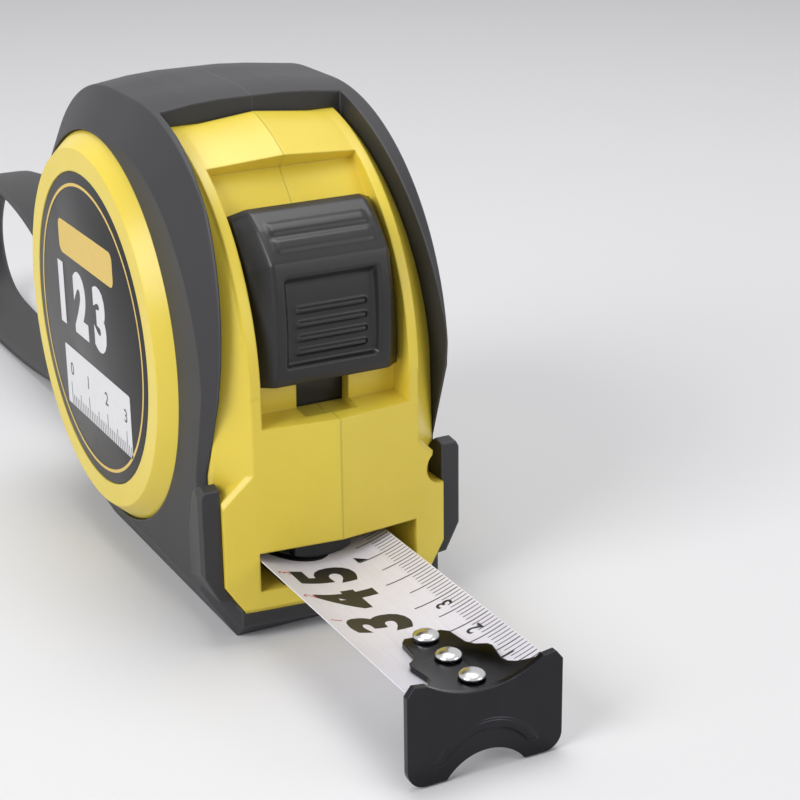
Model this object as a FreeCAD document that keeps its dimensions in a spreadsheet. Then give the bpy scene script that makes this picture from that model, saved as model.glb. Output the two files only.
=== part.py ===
"""Pocket tape measure with a rubber jacket, a thumb lock, a wrist strap and a belt clip.

Frame: millimetres. +X points out of the mouth along the blade, +Z is up, +Y is the belt-clip side.
The origin lies on the base, in the joint plane of the two case halves, below the reel's axis.
"""

import FreeCAD, Part
import math
import os
import Sketcher
from FreeCAD import Placement, Rotation, Vector

doc = FreeCAD.newDocument("TapeMeasure")

# ---------------------------------------------------------------------------
# Driving sizes, in millimetres and degrees
# ---------------------------------------------------------------------------
SIZES = [
    ("axis_height", 43.5, "reel axis above the base"),
    ("rear_radius", 44.0, "round back of the jacket, about the reel axis"),
    ("crown_radius", 42.7, "sloping front arc of the jacket"),
    ("front_centre", 11.5, "centre of the sloping front arc, ahead of the axis"),
    ("front_reach", 50.0, "upright front face of the jacket, ahead of the axis"),
    ("heel_reach", 14.0, "back end of the flat base, behind the axis"),
    ("flank_half", 22.3, "half width of the jacket across its flanks"),
    ("bevel_depth", 4.3, "how far the jacket's side bevel reaches in from the flank"),
    ("clip_bevel_depth", 2.2, "the same bevel on the clip side"),
    ("crown_rise", 1.3, "how far the crown arches up between its two edges"),
    ("ring_proud", 2.7, "how far the side ring stands out of the flank"),
    ("ring_fall", 3.4, "depth of the ring's own bevel"),
    ("flank_wall", 2.6, "thickness of the rubber flank"),
    ("shell_bevel", 4.1, "depth of the plastic case's side bevel"),
    ("dish_wall", 2.6, "thickness of the plastic disc inside the ring"),
    ("side_wall", 2.5, "thickness of the plastic case's flank"),
    ("crown_rim", 0.2, "room that ends before the case's bevel starts"),
    ("boss_length", 4.4, "length of the boss that holds the post"),
    ("post_grip", 3.0, "length of the post inside its boss"),
    ("insert_rim", 1.3, "flank outside the plastic front at the mouth"),
    ("insert_margin", 1.0, "rubber beside the plastic front at its top"),
    ("bevel_drop", 7.5, "how far the side bevel reaches in from the outline"),
    ("jacket_wall", 2.4, "thickness of the rubber jacket"),
    ("bond_gap", 0.1, "room between rubber and plastic"),
    ("shell_drop", 7.15, "how far that bevel reaches in"),
    ("ring_radius", 36.2, "outer radius of the raised side ring"),
    ("ring_crest", 33.2, "radius of the crest of the side ring"),
    ("label_radius", 29.0, "radius of the side label"),
    ("label_thick", 0.5, "thickness of the side label"),
    ("nose_radius", 41.6, "radius of the plastic front arc"),
    ("nose_floor", 5.5, "underside of the plastic nose"),
    ("nose_crown", 1.6, "how far the front falls back from its middle seam to its sides"),
    ("flat_half", 15.5, "half width of the flat of the nose"),
    ("insert_start", 21.2, "upper end of the plastic front, ahead of the axis"),
    ("window_low", -5.0, "lower end of the lock window, degrees above the axis"),
    ("window_high", 47.4, "upper end of the lock window, degrees above the axis"),
    ("window_half", 13.8, "half width of the lock window"),
    ("window_radius", 46.2, "radius of the lock window's floor"),
    ("slot_half", 4.9, "half width of the slot in the window's floor"),
    ("slot_high", 33.5, "upper end of that slot, degrees above the axis"),
    ("mouth_half", 15.0, "half width of the blade mouth"),
    ("mouth_low", 9.6, "lower lip of the mouth"),
    ("mouth_high", 16.7, "upper edge of the mouth"),
    ("cavity_radius", 38.5, "room for the reel and the straight blade"),
    ("flange_room", 35.5, "radius of the room round the reel's flanges"),
    ("dish_radius", 33.0, "deeper room inside the side ring"),
    ("post_radius", 3.5, "radius of the fixed centre post"),
    ("post_boss_wall", 3.0, "wall of the boss that holds the post"),
    ("hub_wall", 2.0, "wall of the reel's bearing boss"),
    ("post_slot", 1.0, "width of the spring slot in the post"),
    ("screw_radius", 1.4, "shank radius of the screws"),
    ("screw_head_radius", 2.7, "head radius of the screws"),
    ("screw_head", 1.4, "head height of the screws"),
    ("screw_gap", 0.1, "room round a screw shank"),
    ("blade_side", -2.5, "sideways place of the blade, reel and hook"),
    ("blade_width", 24.4, "width of the blade across its curled edges"),
    ("blade_cup", 2.5, "depth of the blade's curl"),
    ("blade_thick", 0.2, "thickness of the coated blade"),
    ("blade_height", 12.7, "height of the blade's middle line"),
    ("blade_start", 30.0, "inner end of the straight blade"),
    ("blade_out", 54.0, "length of blade outside the mouth"),
    ("mouth_plane", 51.0, "plane from which the blade's length is counted"),
    ("coil_outer", 28.0, "outer radius of the wound blade"),
    ("coil_inner", 21.2, "inner radius of the wound blade"),
    ("coil_width", 25.0, "width of the wound blade"),
    ("hub_outer", 21.0, "outer radius of the reel drum"),
    ("hub_inner", 19.4, "inner radius of the reel drum"),
    ("flange_radius", 33.0, "radius of the reel flanges"),
    ("flange_thick", 1.0, "thickness of the reel flanges"),
    ("reel_gap", 0.2, "room between reel parts and their neighbours"),
    ("bearing_gap", 0.08, "running clearance of the reel on its post"),
    ("spring_width", 18.0, "width of the power spring"),
    ("spring_thick", 0.4, "thickness of the power spring"),
    ("spring_pitch", 2.4, "distance between turns of the power spring"),
    ("slider_low", 2.1, "lower end of the thumb slider, degrees"),
    ("slider_high", 36.5, "upper end of the thumb slider, degrees"),
    ("slider_half", 13.2, "half width of the thumb slider"),
    ("slider_gap", 0.4, "room between slider and window floor"),
    ("slider_peak", 55.6, "radius of the slider's peak"),
    ("slider_draft", 2.7, "width of the slope on each side of the slider"),
    ("slider_rim_share", 0.45, "height of the slider's rim as a share of its middle"),
    ("rest_half", 8.6, "half width of the thumb rest"),
    ("neck_half", 4.3, "half width of the slider's neck"),
    ("carrier_half", 10.0, "half width of the lock carrier"),
    ("carrier_outer", 43.4, "outer radius of the lock carrier"),
    ("carrier_inner", 41.6, "inner radius of the lock carrier"),
    ("lock_room_radius", 43.7, "room for the lock carrier behind the window floor"),
    ("shoe_half", 5.3, "half width of the brake shoe"),
    ("shoe_back", 44.0, "back face of the brake shoe"),
    ("shoe_front", 50.0, "front face of the brake shoe"),
    ("shoe_top", 30.5, "top of the brake shoe"),
    ("shoe_gap", 0.15, "room between shoe and blade at rest"),
    ("pad_half", 8.0, "half width of the pad under the blade"),
    ("pad_top", 11.3, "top of the pad under the blade"),
    ("pad_back", 38.0, "back end of the pad under the blade"),
    ("hook_thick", 1.2, "thickness of the end hook"),
    ("hook_half", 13.4, "half width of the hook's front plate"),
    ("hook_low", 0.3, "lower edge of the hook"),
    ("hook_high", 17.3, "top of the hook's corners"),
    ("hook_corner", 3.0, "radius of the hook's lower corners"),
    ("hook_notch", 6.8, "half width of the arched notch in the hook's lower edge"),
    ("hook_notch_height", 3.4, "height of that notch"),
    ("tab_length", 19.0, "length of the hook's tab along the blade"),
    ("tab_neck_half", 4.2, "half width of the tab's rear end"),
    ("tab_thick", 0.9, "thickness of the hook's tab"),
    ("hook_gap", 0.12, "room between hook and blade"),
    ("hook_travel", 1.0, "free play of the hook along the blade"),
    ("rivet_radius", 1.2, "shank radius of the hook rivets"),
    ("rivet_rim", 0.95, "how far a rivet head reaches past its shank"),
    ("rivet_head", 1.1, "head height of the hook rivets"),
    ("rivet_pitch", 7.3, "distance between the hook rivets"),
    ("rivet_first", 3.2, "front rivet behind the hook's plate"),
    ("rivet_gap", 0.08, "room round a rivet shank"),
    ("backing_thick", 0.6, "thickness of the plate under the blade"),
    ("strap_width", 15.0, "width of the wrist strap"),
    ("strap_thick", 1.2, "thickness of the wrist strap"),
    ("pin_radius", 1.5, "radius of the strap pin"),
    ("pin_reach", 41.0, "strap pin behind the axis"),
    ("pin_height", 17.0, "strap pin above the base"),
    ("ear_inner", 8.8, "inner half spacing of the strap ears"),
    ("ear_thick", 3.0, "thickness of a strap ear"),
    ("ear_radius", 4.0, "radius of a strap ear's end"),
    ("clasp_length", 12.5, "length of the strap clasp"),
    ("clasp_high", 8.4, "height of the strap clasp"),
    ("clip_half", 9.0, "half width of the belt clip"),
    ("clip_thick", 1.0, "thickness of the belt clip"),
    ("clip_gap", 5.0, "room for a belt behind the clip"),
    ("clip_top", 73.0, "top of the belt clip"),
    ("clip_low", 26.0, "lower end of the belt clip"),
]

# Sizes that follow from the ones above.
FITS = [
    ("crown_half", "flank_half - bevel_depth", "half width where the jacket's side bevel starts"),
    ("ring_half", "flank_half + ring_proud", "half width across the side rings"),
    ("ring_base", "flank_half + ring_proud - ring_fall", "half width where the ring's bevel starts"),
    ("shell_half", "flank_half - flank_wall", "half width of the plastic case under the jacket"),
    (
        "shell_crown",
        "flank_half - flank_wall - shell_bevel",
        "half width where the case's own side bevel starts",
    ),
    ("dish_half", "flank_half + ring_proud - dish_wall", "half width of the deeper room"),
    ("flange_room_half", "flank_half - flank_wall - side_wall", "half width of the room round the flanges"),
    ("cavity_half", "flank_half - flank_wall - shell_bevel - crown_rim", "half width of that room"),
    ("post_boss_half", "flank_half + ring_proud - dish_wall - boss_length", "inner end of that boss"),
    (
        "post_half",
        "flank_half + ring_proud - dish_wall - boss_length + post_grip",
        "half length of the centre post",
    ),
    ("insert_low_half", "flank_half - insert_rim", "half width of the plastic front at the mouth"),
    (
        "insert_top_half",
        "flank_half - bevel_depth - insert_margin",
        "half width of the plastic front at its top",
    ),
    ("hub_boss_radius", "post_radius + hub_wall", "radius of the reel's bearing boss"),
    ("post_boss_radius", "post_radius + post_boss_wall", "boss that holds the post"),
    ("rivet_head_radius", "rivet_radius + rivet_rim", "head radius of the hook rivets"),
]

NAMED = {name: "Sizes." + name for name, _, _ in SIZES}
NAMED.update({name: "Fits." + name for name, _, _ in FITS})


def written_out(text):
    """An expression in which each size, written by its bare name, points at its cell."""
    return " ".join(NAMED.get(word, word) for word in text.split())


def fill(sheet, rows):
    """Writes name, value and meaning on one line for each size, with the name as the value's alias."""
    for row, (name, value, meaning) in enumerate(rows, start=1):
        sheet.set("A%d" % row, name)
        sheet.set("B%d" % row, value)
        sheet.setAlias("B%d" % row, name)
        sheet.set("C%d" % row, meaning)
    doc.recompute()


sizes = doc.addObject("Spreadsheet::Sheet", "Sizes")
fill(sizes, [(name, str(number), meaning) for name, number, meaning in SIZES])
fits = doc.addObject("Spreadsheet::Sheet", "Fits")
fill(fits, [(name, "=" + written_out(text), meaning) for name, text, meaning in FITS])


def size(name):
    """A size as a number."""
    return float((sizes if NAMED[name].startswith("Sizes") else fits).get(name))


def bind(obj, **expressions):
    """Ties properties of an object to expressions in which a size is written by its bare name."""
    for prop, text in expressions.items():
        obj.setExpression(prop.replace("__", "."), written_out(text))
    return obj


def label(obj, name):
    obj.Label = name
    nodes.append(obj)
    return obj


nodes = []
AXIS = size("axis_height")
SIDE = size("blade_side")
FRONT_HEIGHT = AXIS + size("rear_radius") - size("crown_radius")
PLATE = size("mouth_plane") + size("blade_out")
ALONG_Y = Rotation(Vector(1, 0, 0), -90)
PLANES = {
    "side": Rotation(Vector(1, 0, 0), 90),
    "front": Rotation(Vector(1, 1, 1), 120),
    "plan": Rotation(),
}
NORMALS = {"side": Vector(0, 1, 0), "front": Vector(1, 0, 0), "plan": Vector(0, 0, 1)}
START_AXES = {"side": "y", "front": "x", "plan": "z"}


# ---------------------------------------------------------------------------
# Ways of making a piece
# ---------------------------------------------------------------------------
class Outline:
    """A closed outline of straight runs and arcs in a sketch's own plane."""

    def __init__(self, first, second):
        self.begin = Vector(first, second, 0)
        self.at = self.begin
        self.pieces = []

    def to(self, first, second):
        point = Vector(first, second, 0)
        self.pieces.append(Part.LineSegment(self.at, point))
        self.at = point
        return self

    def arc(self, centre, radius, from_angle, to_angle):
        """An arc about centre, in degrees; a falling angle runs clockwise."""
        circle = Part.Circle(Vector(centre[0], centre[1], 0), Vector(0, 0, 1), radius)
        low, high = sorted((math.radians(from_angle), math.radians(to_angle)))
        self.pieces.append(Part.ArcOfCircle(circle, low, high))
        end = math.radians(to_angle)
        self.at = Vector(centre[0] + radius * math.cos(end), centre[1] + radius * math.sin(end), 0)
        return self

    def close(self):
        if self.at.distanceToPoint(self.begin) > 1e-6:
            self.to(self.begin.x, self.begin.y)
        return self.pieces


def polar(radius, degrees):
    """A point of the side view by its distance from the reel axis and its angle above the front."""
    angle = math.radians(degrees)
    return radius * math.cos(angle), AXIS + radius * math.sin(angle)


def sector(inner, outer, low, high):
    """The side view of a curved plate about the reel axis."""
    outline = Outline(*polar(inner, low)).to(*polar(outer, low))
    outline.arc((0, AXIS), outer, low, high)
    outline.to(*polar(inner, high))
    outline.arc((0, AXIS), inner, high, low)
    return outline.close()


def drawn(name, plane, pieces, start):
    """A sketch in a plane at right angles to one axis, start being its place along that axis."""
    sketch = doc.addObject("Sketcher::SketchObject", name)
    sketch.addGeometry(pieces, False)
    sketch.Placement = Placement(Vector(), PLANES[plane])
    bind(sketch, **{"Placement__Base__" + START_AXES[plane]: start})
    return sketch


def prism(name, plane, pieces, start, length):
    """A sketch drawn out along its normal."""
    solid = doc.addObject("Part::Extrusion", name)
    solid.Base = drawn(name + "_sketch", plane, pieces, start)
    solid.DirMode = "Custom"
    solid.Dir = NORMALS[plane]
    solid.Solid = True
    return bind(solid, LengthFwd=length)


def loft(name, sketches):
    """Straight-sided skin through sketches with equal numbers of corners."""
    solid = doc.addObject("Part::Loft", name)
    solid.Sections = sketches
    solid.Solid = True
    solid.Ruled = True
    return solid


def box(name, x, y, z):
    """A block between pairs of expressions."""
    solid = doc.addObject("Part::Box", name)
    bind(solid, Placement__Base__x=x[0], Placement__Base__y=y[0], Placement__Base__z=z[0])
    spans = ["( %s ) - ( %s )" % (high, low) for low, high in (x, y, z)]
    return bind(solid, Length=spans[0], Width=spans[1], Height=spans[2])


def rod(name, radius, start, length, x="0", z="axis_height"):
    """A cylinder along +Y."""
    solid = doc.addObject("Part::Cylinder", name)
    solid.Placement = Placement(Vector(), ALONG_Y)
    bind(solid, Placement__Base__x=x, Placement__Base__y=start, Placement__Base__z=z)
    return bind(solid, Radius=radius, Height=length)


def stud(name, radius, x, y, z, height):
    """A cylinder along +Z."""
    solid = doc.addObject("Part::Cylinder", name)
    bind(solid, Placement__Base__x=x, Placement__Base__y=y, Placement__Base__z=z)
    return bind(solid, Radius=radius, Height=height)


def fuse(name, *solids):
    joined = doc.addObject("Part::MultiFuse", name)
    joined.Shapes = list(solids)
    return joined


def common(name, *solids):
    shared = doc.addObject("Part::MultiCommon", name)
    shared.Shapes = list(solids)
    return shared


def cut(name, base, *tools):
    """base with every tool taken away."""
    rest = doc.addObject("Part::Cut", name)
    rest.Base = base
    rest.Tool = tools[0] if len(tools) == 1 else fuse(name + "_tools", *tools)
    return rest


def mirrored(name, source):
    """The same piece on the other side of the joint plane."""
    twin = doc.addObject("Part::Mirroring", name)
    twin.Source = source
    twin.Normal = Vector(0, 1, 0)
    return twin


def body_sketch(body, name, role):
    """A sketch on one of a body's own origin planes."""
    sketch = body.newObject("Sketcher::SketchObject", name)
    plane = [item for item in body.Origin.OriginFeatures if item.Role == role][0]
    sketch.AttachmentSupport = [(plane, "")]
    sketch.MapMode = "FlatFace"
    return sketch


def bound_circle(sketch, radius):
    """A circle about the sketch's origin with its radius tied to an expression."""
    start = Part.Circle(Vector(), Vector(0, 0, 1), 10)
    index = sketch.addGeometry(start, False)
    sketch.addConstraint(Sketcher.Constraint("Coincident", index, 3, -1, 1))
    place = sketch.addConstraint(Sketcher.Constraint("Radius", index, 10))
    bind(sketch, **{"Constraints[%d]" % place: radius})


def ring_body(name, outer, inner, start, length, x="0", z="axis_height"):
    """A turned ring or disc whose axis runs along +Y from start."""
    body = doc.addObject("PartDesign::Body", name)
    sketch = body_sketch(body, name + "_circles", "XZ_Plane")
    bound_circle(sketch, outer)
    if inner:
        bound_circle(sketch, inner)
    pad = body.newObject("PartDesign::Pad", name + "_pad")
    pad.Profile = sketch
    pad.Reversed = True
    bind(pad, Length=length)
    body.Tip = pad
    return bind(body, Placement__Base__x=x, Placement__Base__y=start, Placement__Base__z=z)


# ---------------------------------------------------------------------------
# Outlines of the case
# ---------------------------------------------------------------------------
def case_outline(inset):
    """Side view of the case: flat base, upright face, sloping front arc, crown and round back."""
    toe = 3.0
    base = max(inset, 0)
    face = size("front_reach") - inset
    outline = Outline(0.4 * base - size("heel_reach"), base)
    outline.to(size("front_reach") - toe - 0.8 * base, base)
    outline.to(face, toe + 0.8 * base)
    outline.to(face, 0.66 * FRONT_HEIGHT)
    outline.to(size("front_centre") + size("crown_radius") - inset, FRONT_HEIGHT)
    outline.arc((size("front_centre"), FRONT_HEIGHT), size("crown_radius") - inset, 0, 90)
    outline.to(0, AXIS + size("rear_radius") - inset)
    outline.arc((0, AXIS), size("rear_radius") - inset, 90, 240)
    return outline.close()


def nose_outline(inset):
    """Side view of the plastic front: lower lip, upright face and the arc up to the crown."""
    radius = size("nose_radius") - inset
    start = size("insert_start")
    top_angle = math.degrees(math.acos((start - size("front_centre")) / radius))
    floor = size("nose_floor")
    face = size("front_centre") + radius
    outline = Outline(30, floor).to(face - 1.0, floor).to(face, floor + 1.0)
    outline.to(face, FRONT_HEIGHT)
    outline.arc((size("front_centre"), FRONT_HEIGHT), radius, 0, top_angle)
    outline.to(start, 70).to(30, 60)
    return outline.close()


def lip_outline(inset, top):
    """Side view of the full-width block round the mouth."""
    floor = size("nose_floor")
    face = size("front_centre") + size("nose_radius") - inset
    outline = Outline(30, floor).to(face - 1.0, floor).to(face, floor + 1.0)
    return outline.to(face, top - 1.0).to(face - 0.8, top).to(30, top).close()


def front_view(extra):
    """Half of the plastic front as seen from the mouth, grown by extra."""
    top_half = size("insert_top_half") + extra
    low_half = size("insert_low_half") + extra
    floor = size("nose_floor") - extra
    outline = Outline(0, floor).to(low_half - 3.6, floor).to(low_half, floor + 5.5)
    outline.to(low_half, 30).to(low_half - 0.7, 46).to(top_half, 84).to(top_half, 95)
    return outline.to(0, 95).close()


def bevelled(name, inset, drop, start, crown_at, flank_at):
    """Half of a case-shaped block whose side edge is bevelled all round."""
    return fuse(
        name,
        prism(name + "_crown", "side", case_outline(inset), start, crown_at + " - ( " + start + " )"),
        loft(
            name + "_bevel",
            [
                drawn(name + "_outer", "side", case_outline(inset), crown_at),
                drawn(name + "_inner", "side", case_outline(inset + drop), flank_at),
            ],
        ),
    )


# ---------------------------------------------------------------------------
# Plastic case halves
# ---------------------------------------------------------------------------
wall = size("jacket_wall")
bond = size("bond_gap")
shell_skin = bevelled("shell_skin", wall + bond, size("shell_drop"), "0", "shell_crown", "shell_half")
crown = size("nose_crown")
nose_skin = loft(
    "nose_skin",
    [
        drawn("nose_mid", "side", nose_outline(0), "0"),
        drawn("nose_edge", "side", nose_outline(crown), "flat_half"),
        drawn("nose_flank", "side", nose_outline(crown + 5.5), "insert_low_half + 0.5"),
    ],
)
lip_skin = loft(
    "lip_skin",
    [
        drawn("lip_mid", "side", lip_outline(0, 34), "0"),
        drawn("lip_edge", "side", lip_outline(crown, 32), "flat_half"),
        drawn("lip_flank", "side", lip_outline(crown + 1.0, 26), "insert_low_half + 0.5"),
    ],
)
front_room = prism("front_room", "front", front_view(0), "20", "40")
front_part = common("front_part", fuse("front_skins", nose_skin, lip_skin), front_room)

ring_wall = rod("ring_wall", "ring_radius", "shell_half - 1.9", "ring_base - shell_half + 1.9")
ring_bevel = doc.addObject("Part::Cone", "ring_bevel")
ring_bevel.Placement = Placement(Vector(), ALONG_Y)
bind(ring_bevel, Placement__Base__y="ring_base", Placement__Base__z="axis_height")
bind(ring_bevel, Radius1="ring_radius", Radius2="ring_crest", Height="ring_half - ring_base")

strap_ear = fuse(
    "strap_ear",
    rod("ear_end", "ear_radius", "ear_inner", "ear_thick", "0 - pin_reach", "pin_height"),
    box(
        "ear_root",
        ("0 - pin_reach", "0 - 31"),
        ("ear_inner", "ear_inner + ear_thick"),
        ("pin_height - ear_radius", "pin_height + ear_radius"),
    ),
)

reel_room = fuse(
    "reel_room",
    rod("blade_room", "cavity_radius", "0 - 1", "cavity_half + 1"),
    rod("flange_space", "flange_room", "0 - 1", "flange_room_half + 1"),
)
dish_room = rod("dish_room", "dish_radius", "0", "dish_half")
lock_room = prism(
    "lock_room", "side", sector(37, size("lock_room_radius"), -14, 50), "0 - 1", "window_half"
)
chute = box("chute", ("20", "50.4"), ("0 - 1", "mouth_half + 0.2"), ("mouth_low", "33.5"))
mouth = box("mouth", ("49", "60"), ("0 - 1", "mouth_half"), ("mouth_low", "mouth_high"))
window = prism(
    "window",
    "side",
    sector(size("window_radius"), 62, size("window_low"), size("window_high")),
    "0 - 1",
    "window_half + 1",
)
slot = prism(
    "slot", "side", sector(42, 50, size("window_low") - 1.5, size("slot_high")), "0 - 1", "slot_half + 1"
)

post_boss = rod("post_boss", "post_boss_radius", "post_boss_half", "dish_half - post_boss_half + 0.5")
rooms = fuse(
    "rooms",
    cut("reel_rooms", fuse("round_rooms", reel_room, dish_room), post_boss),
    lock_room,
    chute,
)
label_seat = rod("label_seat", "label_radius + 0.1", "ring_half - label_thick", "3")
post_hole = rod("post_hole", "post_radius", "0", "post_half")
post_screw_hole = rod(
    "post_screw_hole", "screw_radius + screw_gap", "post_boss_half - 3", "ring_half - post_boss_half + 5"
)
post_screw_seat = rod(
    "post_screw_seat", "screw_head_radius + screw_gap", "ring_half - label_thick - screw_head - 0.1", "5"
)
right_blank = cut(
    "right_blank",
    fuse("right_solids", shell_skin, front_part, ring_wall, ring_bevel, strap_ear),
    rooms,
    mouth,
    window,
    slot,
    label_seat,
    post_hole,
    post_screw_hole,
    post_screw_seat,
    rod("pin_hole", "pin_radius", "ear_inner - 1", "ear_thick - 0.5 + 1", "0 - pin_reach", "pin_height"),
)
left_blank = mirrored("left_blank", right_blank)

CASE_SCREWS = [("top", "15.5", "81.4"), ("low", "27", "6.1")]
screw_bores = []
screw_seats = []
for place, x, z in CASE_SCREWS:
    screw_bores.append(rod("bore_" + place, "screw_radius + screw_gap", "0 - 14", "40", x, z))
    screw_seats.append(
        rod("seat_" + place, "screw_head_radius + screw_gap", "shell_half - screw_head", "9", x, z)
    )


def shoe_guide(name, low, high):
    return box(name, ("shoe_back", "50.5"), (low, high), ("mouth_high + 2", "33.5"))


right_guide = shoe_guide("right_guide", "blade_side + shoe_half + 0.15", "blade_side + shoe_half + 2")
left_guide = shoe_guide("left_guide", "blade_side - shoe_half - 2", "blade_side - shoe_half - 0.15")
side_notch = prism(
    "side_notch",
    "front",
    [Part.Circle(Vector(20.6, 25.4, 0), Vector(0, 0, 1), 3.2)],
    "45",
    "20",
)
clip_bore = rod("clip_bore", "screw_radius + screw_gap", "15", "20", "0", "clip_top - 8")
label(
    cut(
        "right_case",
        fuse("right_ribbed", right_blank, right_guide),
        side_notch,
        clip_bore,
        *screw_bores,
        *screw_seats,
    ),
    "right_shell",
)
label(cut("left_case", fuse("left_ribbed", left_blank, left_guide), *screw_bores), "left_shell")

# ---------------------------------------------------------------------------
# Rubber jacket halves
# ---------------------------------------------------------------------------
def arched(name, crown_at):
    """Half of the jacket's outside: an arched crown, a side bevel and a flat flank."""
    rise = size("crown_rise")
    steps = [
        ("0", rise),
        ("6", rise),
        ("11", 0.75 * rise),
        (crown_at, 0),
        ("flank_half", -size("bevel_drop")),
    ]
    outlines = [
        drawn("%s_at_%d" % (name, count), "side", case_outline(-height), place)
        for count, (place, height) in enumerate(steps)
    ]
    return loft(name, outlines)


foot_plan = Outline(35, size("crown_half")).to(size("front_reach") - 0.2, size("crown_half"))
foot_plan.to(size("front_reach") - 0.2, size("ring_half") - 0.5)
foot_plan.to(size("front_reach") - 1.4, size("ring_half") - 0.3).to(35, size("flank_half") - 0.6)
foot_side = Outline(33, 11).to(40, 8).to(60, 8).to(60, 27).to(size("front_reach") - 2.5, 29.4).to(44, 27)
foot_front = Outline(size("crown_half"), 8).to(
    size("flank_half") - 0.4,
    8.4,
).to(size("ring_half") - 0.2, 14)
foot_front.to(size("ring_half"), 27).to(size("ring_half") - 1.5, 30).to(size("crown_half"), 30)
front_foot = common(
    "front_foot",
    prism("foot_block", "plan", foot_plan.close(), "2", "34"),
    prism("foot_shape", "side", foot_side.close(), "0", "40"),
    prism("foot_taper", "front", foot_front.close(), "30", "30"),
)
jacket_room = bevelled(
    "jacket_room", wall, size("shell_drop"), "0 - 1", "shell_crown + bond_gap / 2", "shell_half + bond_gap"
)
ring_room = rod("ring_room", "ring_radius + bond_gap", "shell_half - 2", "10")
front_gap = prism("front_gap", "front", front_view(bond), "20.5", "40")
ear_room = box(
    "ear_room",
    ("0 - 60", "0 - 30"),
    ("ear_inner - bond_gap", "ear_inner + ear_thick + bond_gap"),
    ("pin_height - ear_radius - bond_gap", "pin_height + ear_radius + bond_gap"),
)
rubber_rooms = fuse("rubber_rooms", jacket_room, ring_room, front_gap, ear_room)
left_skin = fuse("left_skin", arched("label_side_skin", "crown_half"), front_foot)
right_skin = fuse("right_skin", arched("clip_side_skin", "flank_half - clip_bevel_depth"), front_foot)
label(mirrored("left_rubber", cut("left_rubber_blank", left_skin, rubber_rooms)), "left_jacket")
jacket_screw_rooms = [
    rod("access_" + place, "screw_head_radius + screw_gap", "10", "20", x, z) for place, x, z in CASE_SCREWS
]
label(cut("right_rubber", right_skin, rubber_rooms, *jacket_screw_rooms), "right_jacket")

# ---------------------------------------------------------------------------
# Labels, post and screws
# ---------------------------------------------------------------------------
label(ring_body("left_disc", "label_radius", None, "0 - ring_half", "label_thick"), "left_label")
right_disc = ring_body("right_disc", "label_radius", None, "ring_half - label_thick", "label_thick")
clip_pass = rod("clip_pass", "screw_radius + screw_gap", "20", "10", "0", "clip_top - 8")
label(cut("right_disc_cut", right_disc, clip_pass), "right_label")

post = ring_body("post_rod", "post_radius", None, "0 - post_half", "2 * post_half")
post_slot_cut = box(
    "post_slot_cut",
    ("0 - post_radius - 1", "0"),
    ("blade_side - spring_width / 2 - 0.2", "blade_side + spring_width / 2 + 0.2"),
    ("axis_height - post_slot / 2", "axis_height + post_slot / 2"),
)
post_bores = [
    rod("post_bore_right", "screw_radius", "post_half - 6.2", "7"),
    rod("post_bore_left", "screw_radius", "0 - post_half - 0.8", "7"),
]
label(cut("post_cut", post, post_slot_cut, *post_bores), "centre_post")


def screw(name, head_start, head, shank_start, shank, x="0", z="axis_height"):
    """A pan-head screw along Y."""
    return fuse(
        name,
        rod(name + "_head", "screw_head_radius", head_start, head, x, z),
        rod(name + "_shank", "screw_radius", shank_start, shank, x, z),
    )


label(
    fuse(
        "post_screw_pair",
        screw(
            "post_screw_right",
            "ring_half - label_thick - screw_head - 0.1",
            "screw_head",
            "post_half - 6",
            "ring_half - label_thick - screw_head - post_half + 6",
        ),
        screw(
            "post_screw_left",
            "label_thick - ring_half + 0.1",
            "screw_head",
            "label_thick + screw_head + 0.1 - ring_half",
            "ring_half - label_thick - screw_head - post_half + 5.9",
        ),
    ),
    "post_screws",
)
label(
    fuse(
        "case_screw_pair",
        *[
            screw(
                "case_screw_" + place,
                "shell_half - screw_head + 0.05",
                "screw_head",
                "0 - 13.5",
                "13.5 + shell_half - screw_head + 0.1",
                x,
                z,
            )
            for place, x, z in CASE_SCREWS
        ],
    ),
    "case_screws",
)

# ---------------------------------------------------------------------------
# Reel, spring and wound blade
# ---------------------------------------------------------------------------
REEL_FACE = "coil_width / 2 + reel_gap"


def flange(name, start, boss_start):
    """A reel flange with its bearing boss."""
    disc = rod(name + "_disc", "flange_radius", start, "flange_thick")
    boss = rod(name + "_boss", "hub_boss_radius", boss_start, "3 + flange_thick")
    return disc, boss


drum = ring_body(
    "drum_ring",
    "hub_outer",
    "hub_inner",
    "blade_side - " + REEL_FACE.replace("+", "-"),
    "coil_width + 2 * reel_gap",
)
bearing = rod("bearing_room", "post_radius + bearing_gap", "0 - 30", "60")
drum_disc, drum_boss = flange(
    "drum_flange",
    "blade_side - coil_width / 2 - reel_gap - flange_thick",
    "blade_side - coil_width / 2 - reel_gap - flange_thick",
)
label(cut("drum_bored", fuse("drum_solids", drum, drum_disc, drum_boss), bearing), "reel_drum")
right_disc_, right_boss = flange(
    "cover_flange",
    "blade_side + coil_width / 2 + reel_gap + 0.02",
    "blade_side + coil_width / 2 + reel_gap - 2.98",
)
label(cut("cover_bored", fuse("cover_solids", right_disc_, right_boss), bearing), "reel_cover")
label(
    ring_body("coil_ring", "coil_outer", "coil_inner", "blade_side - coil_width / 2", "coil_width"),
    "blade_coil",
)


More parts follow.
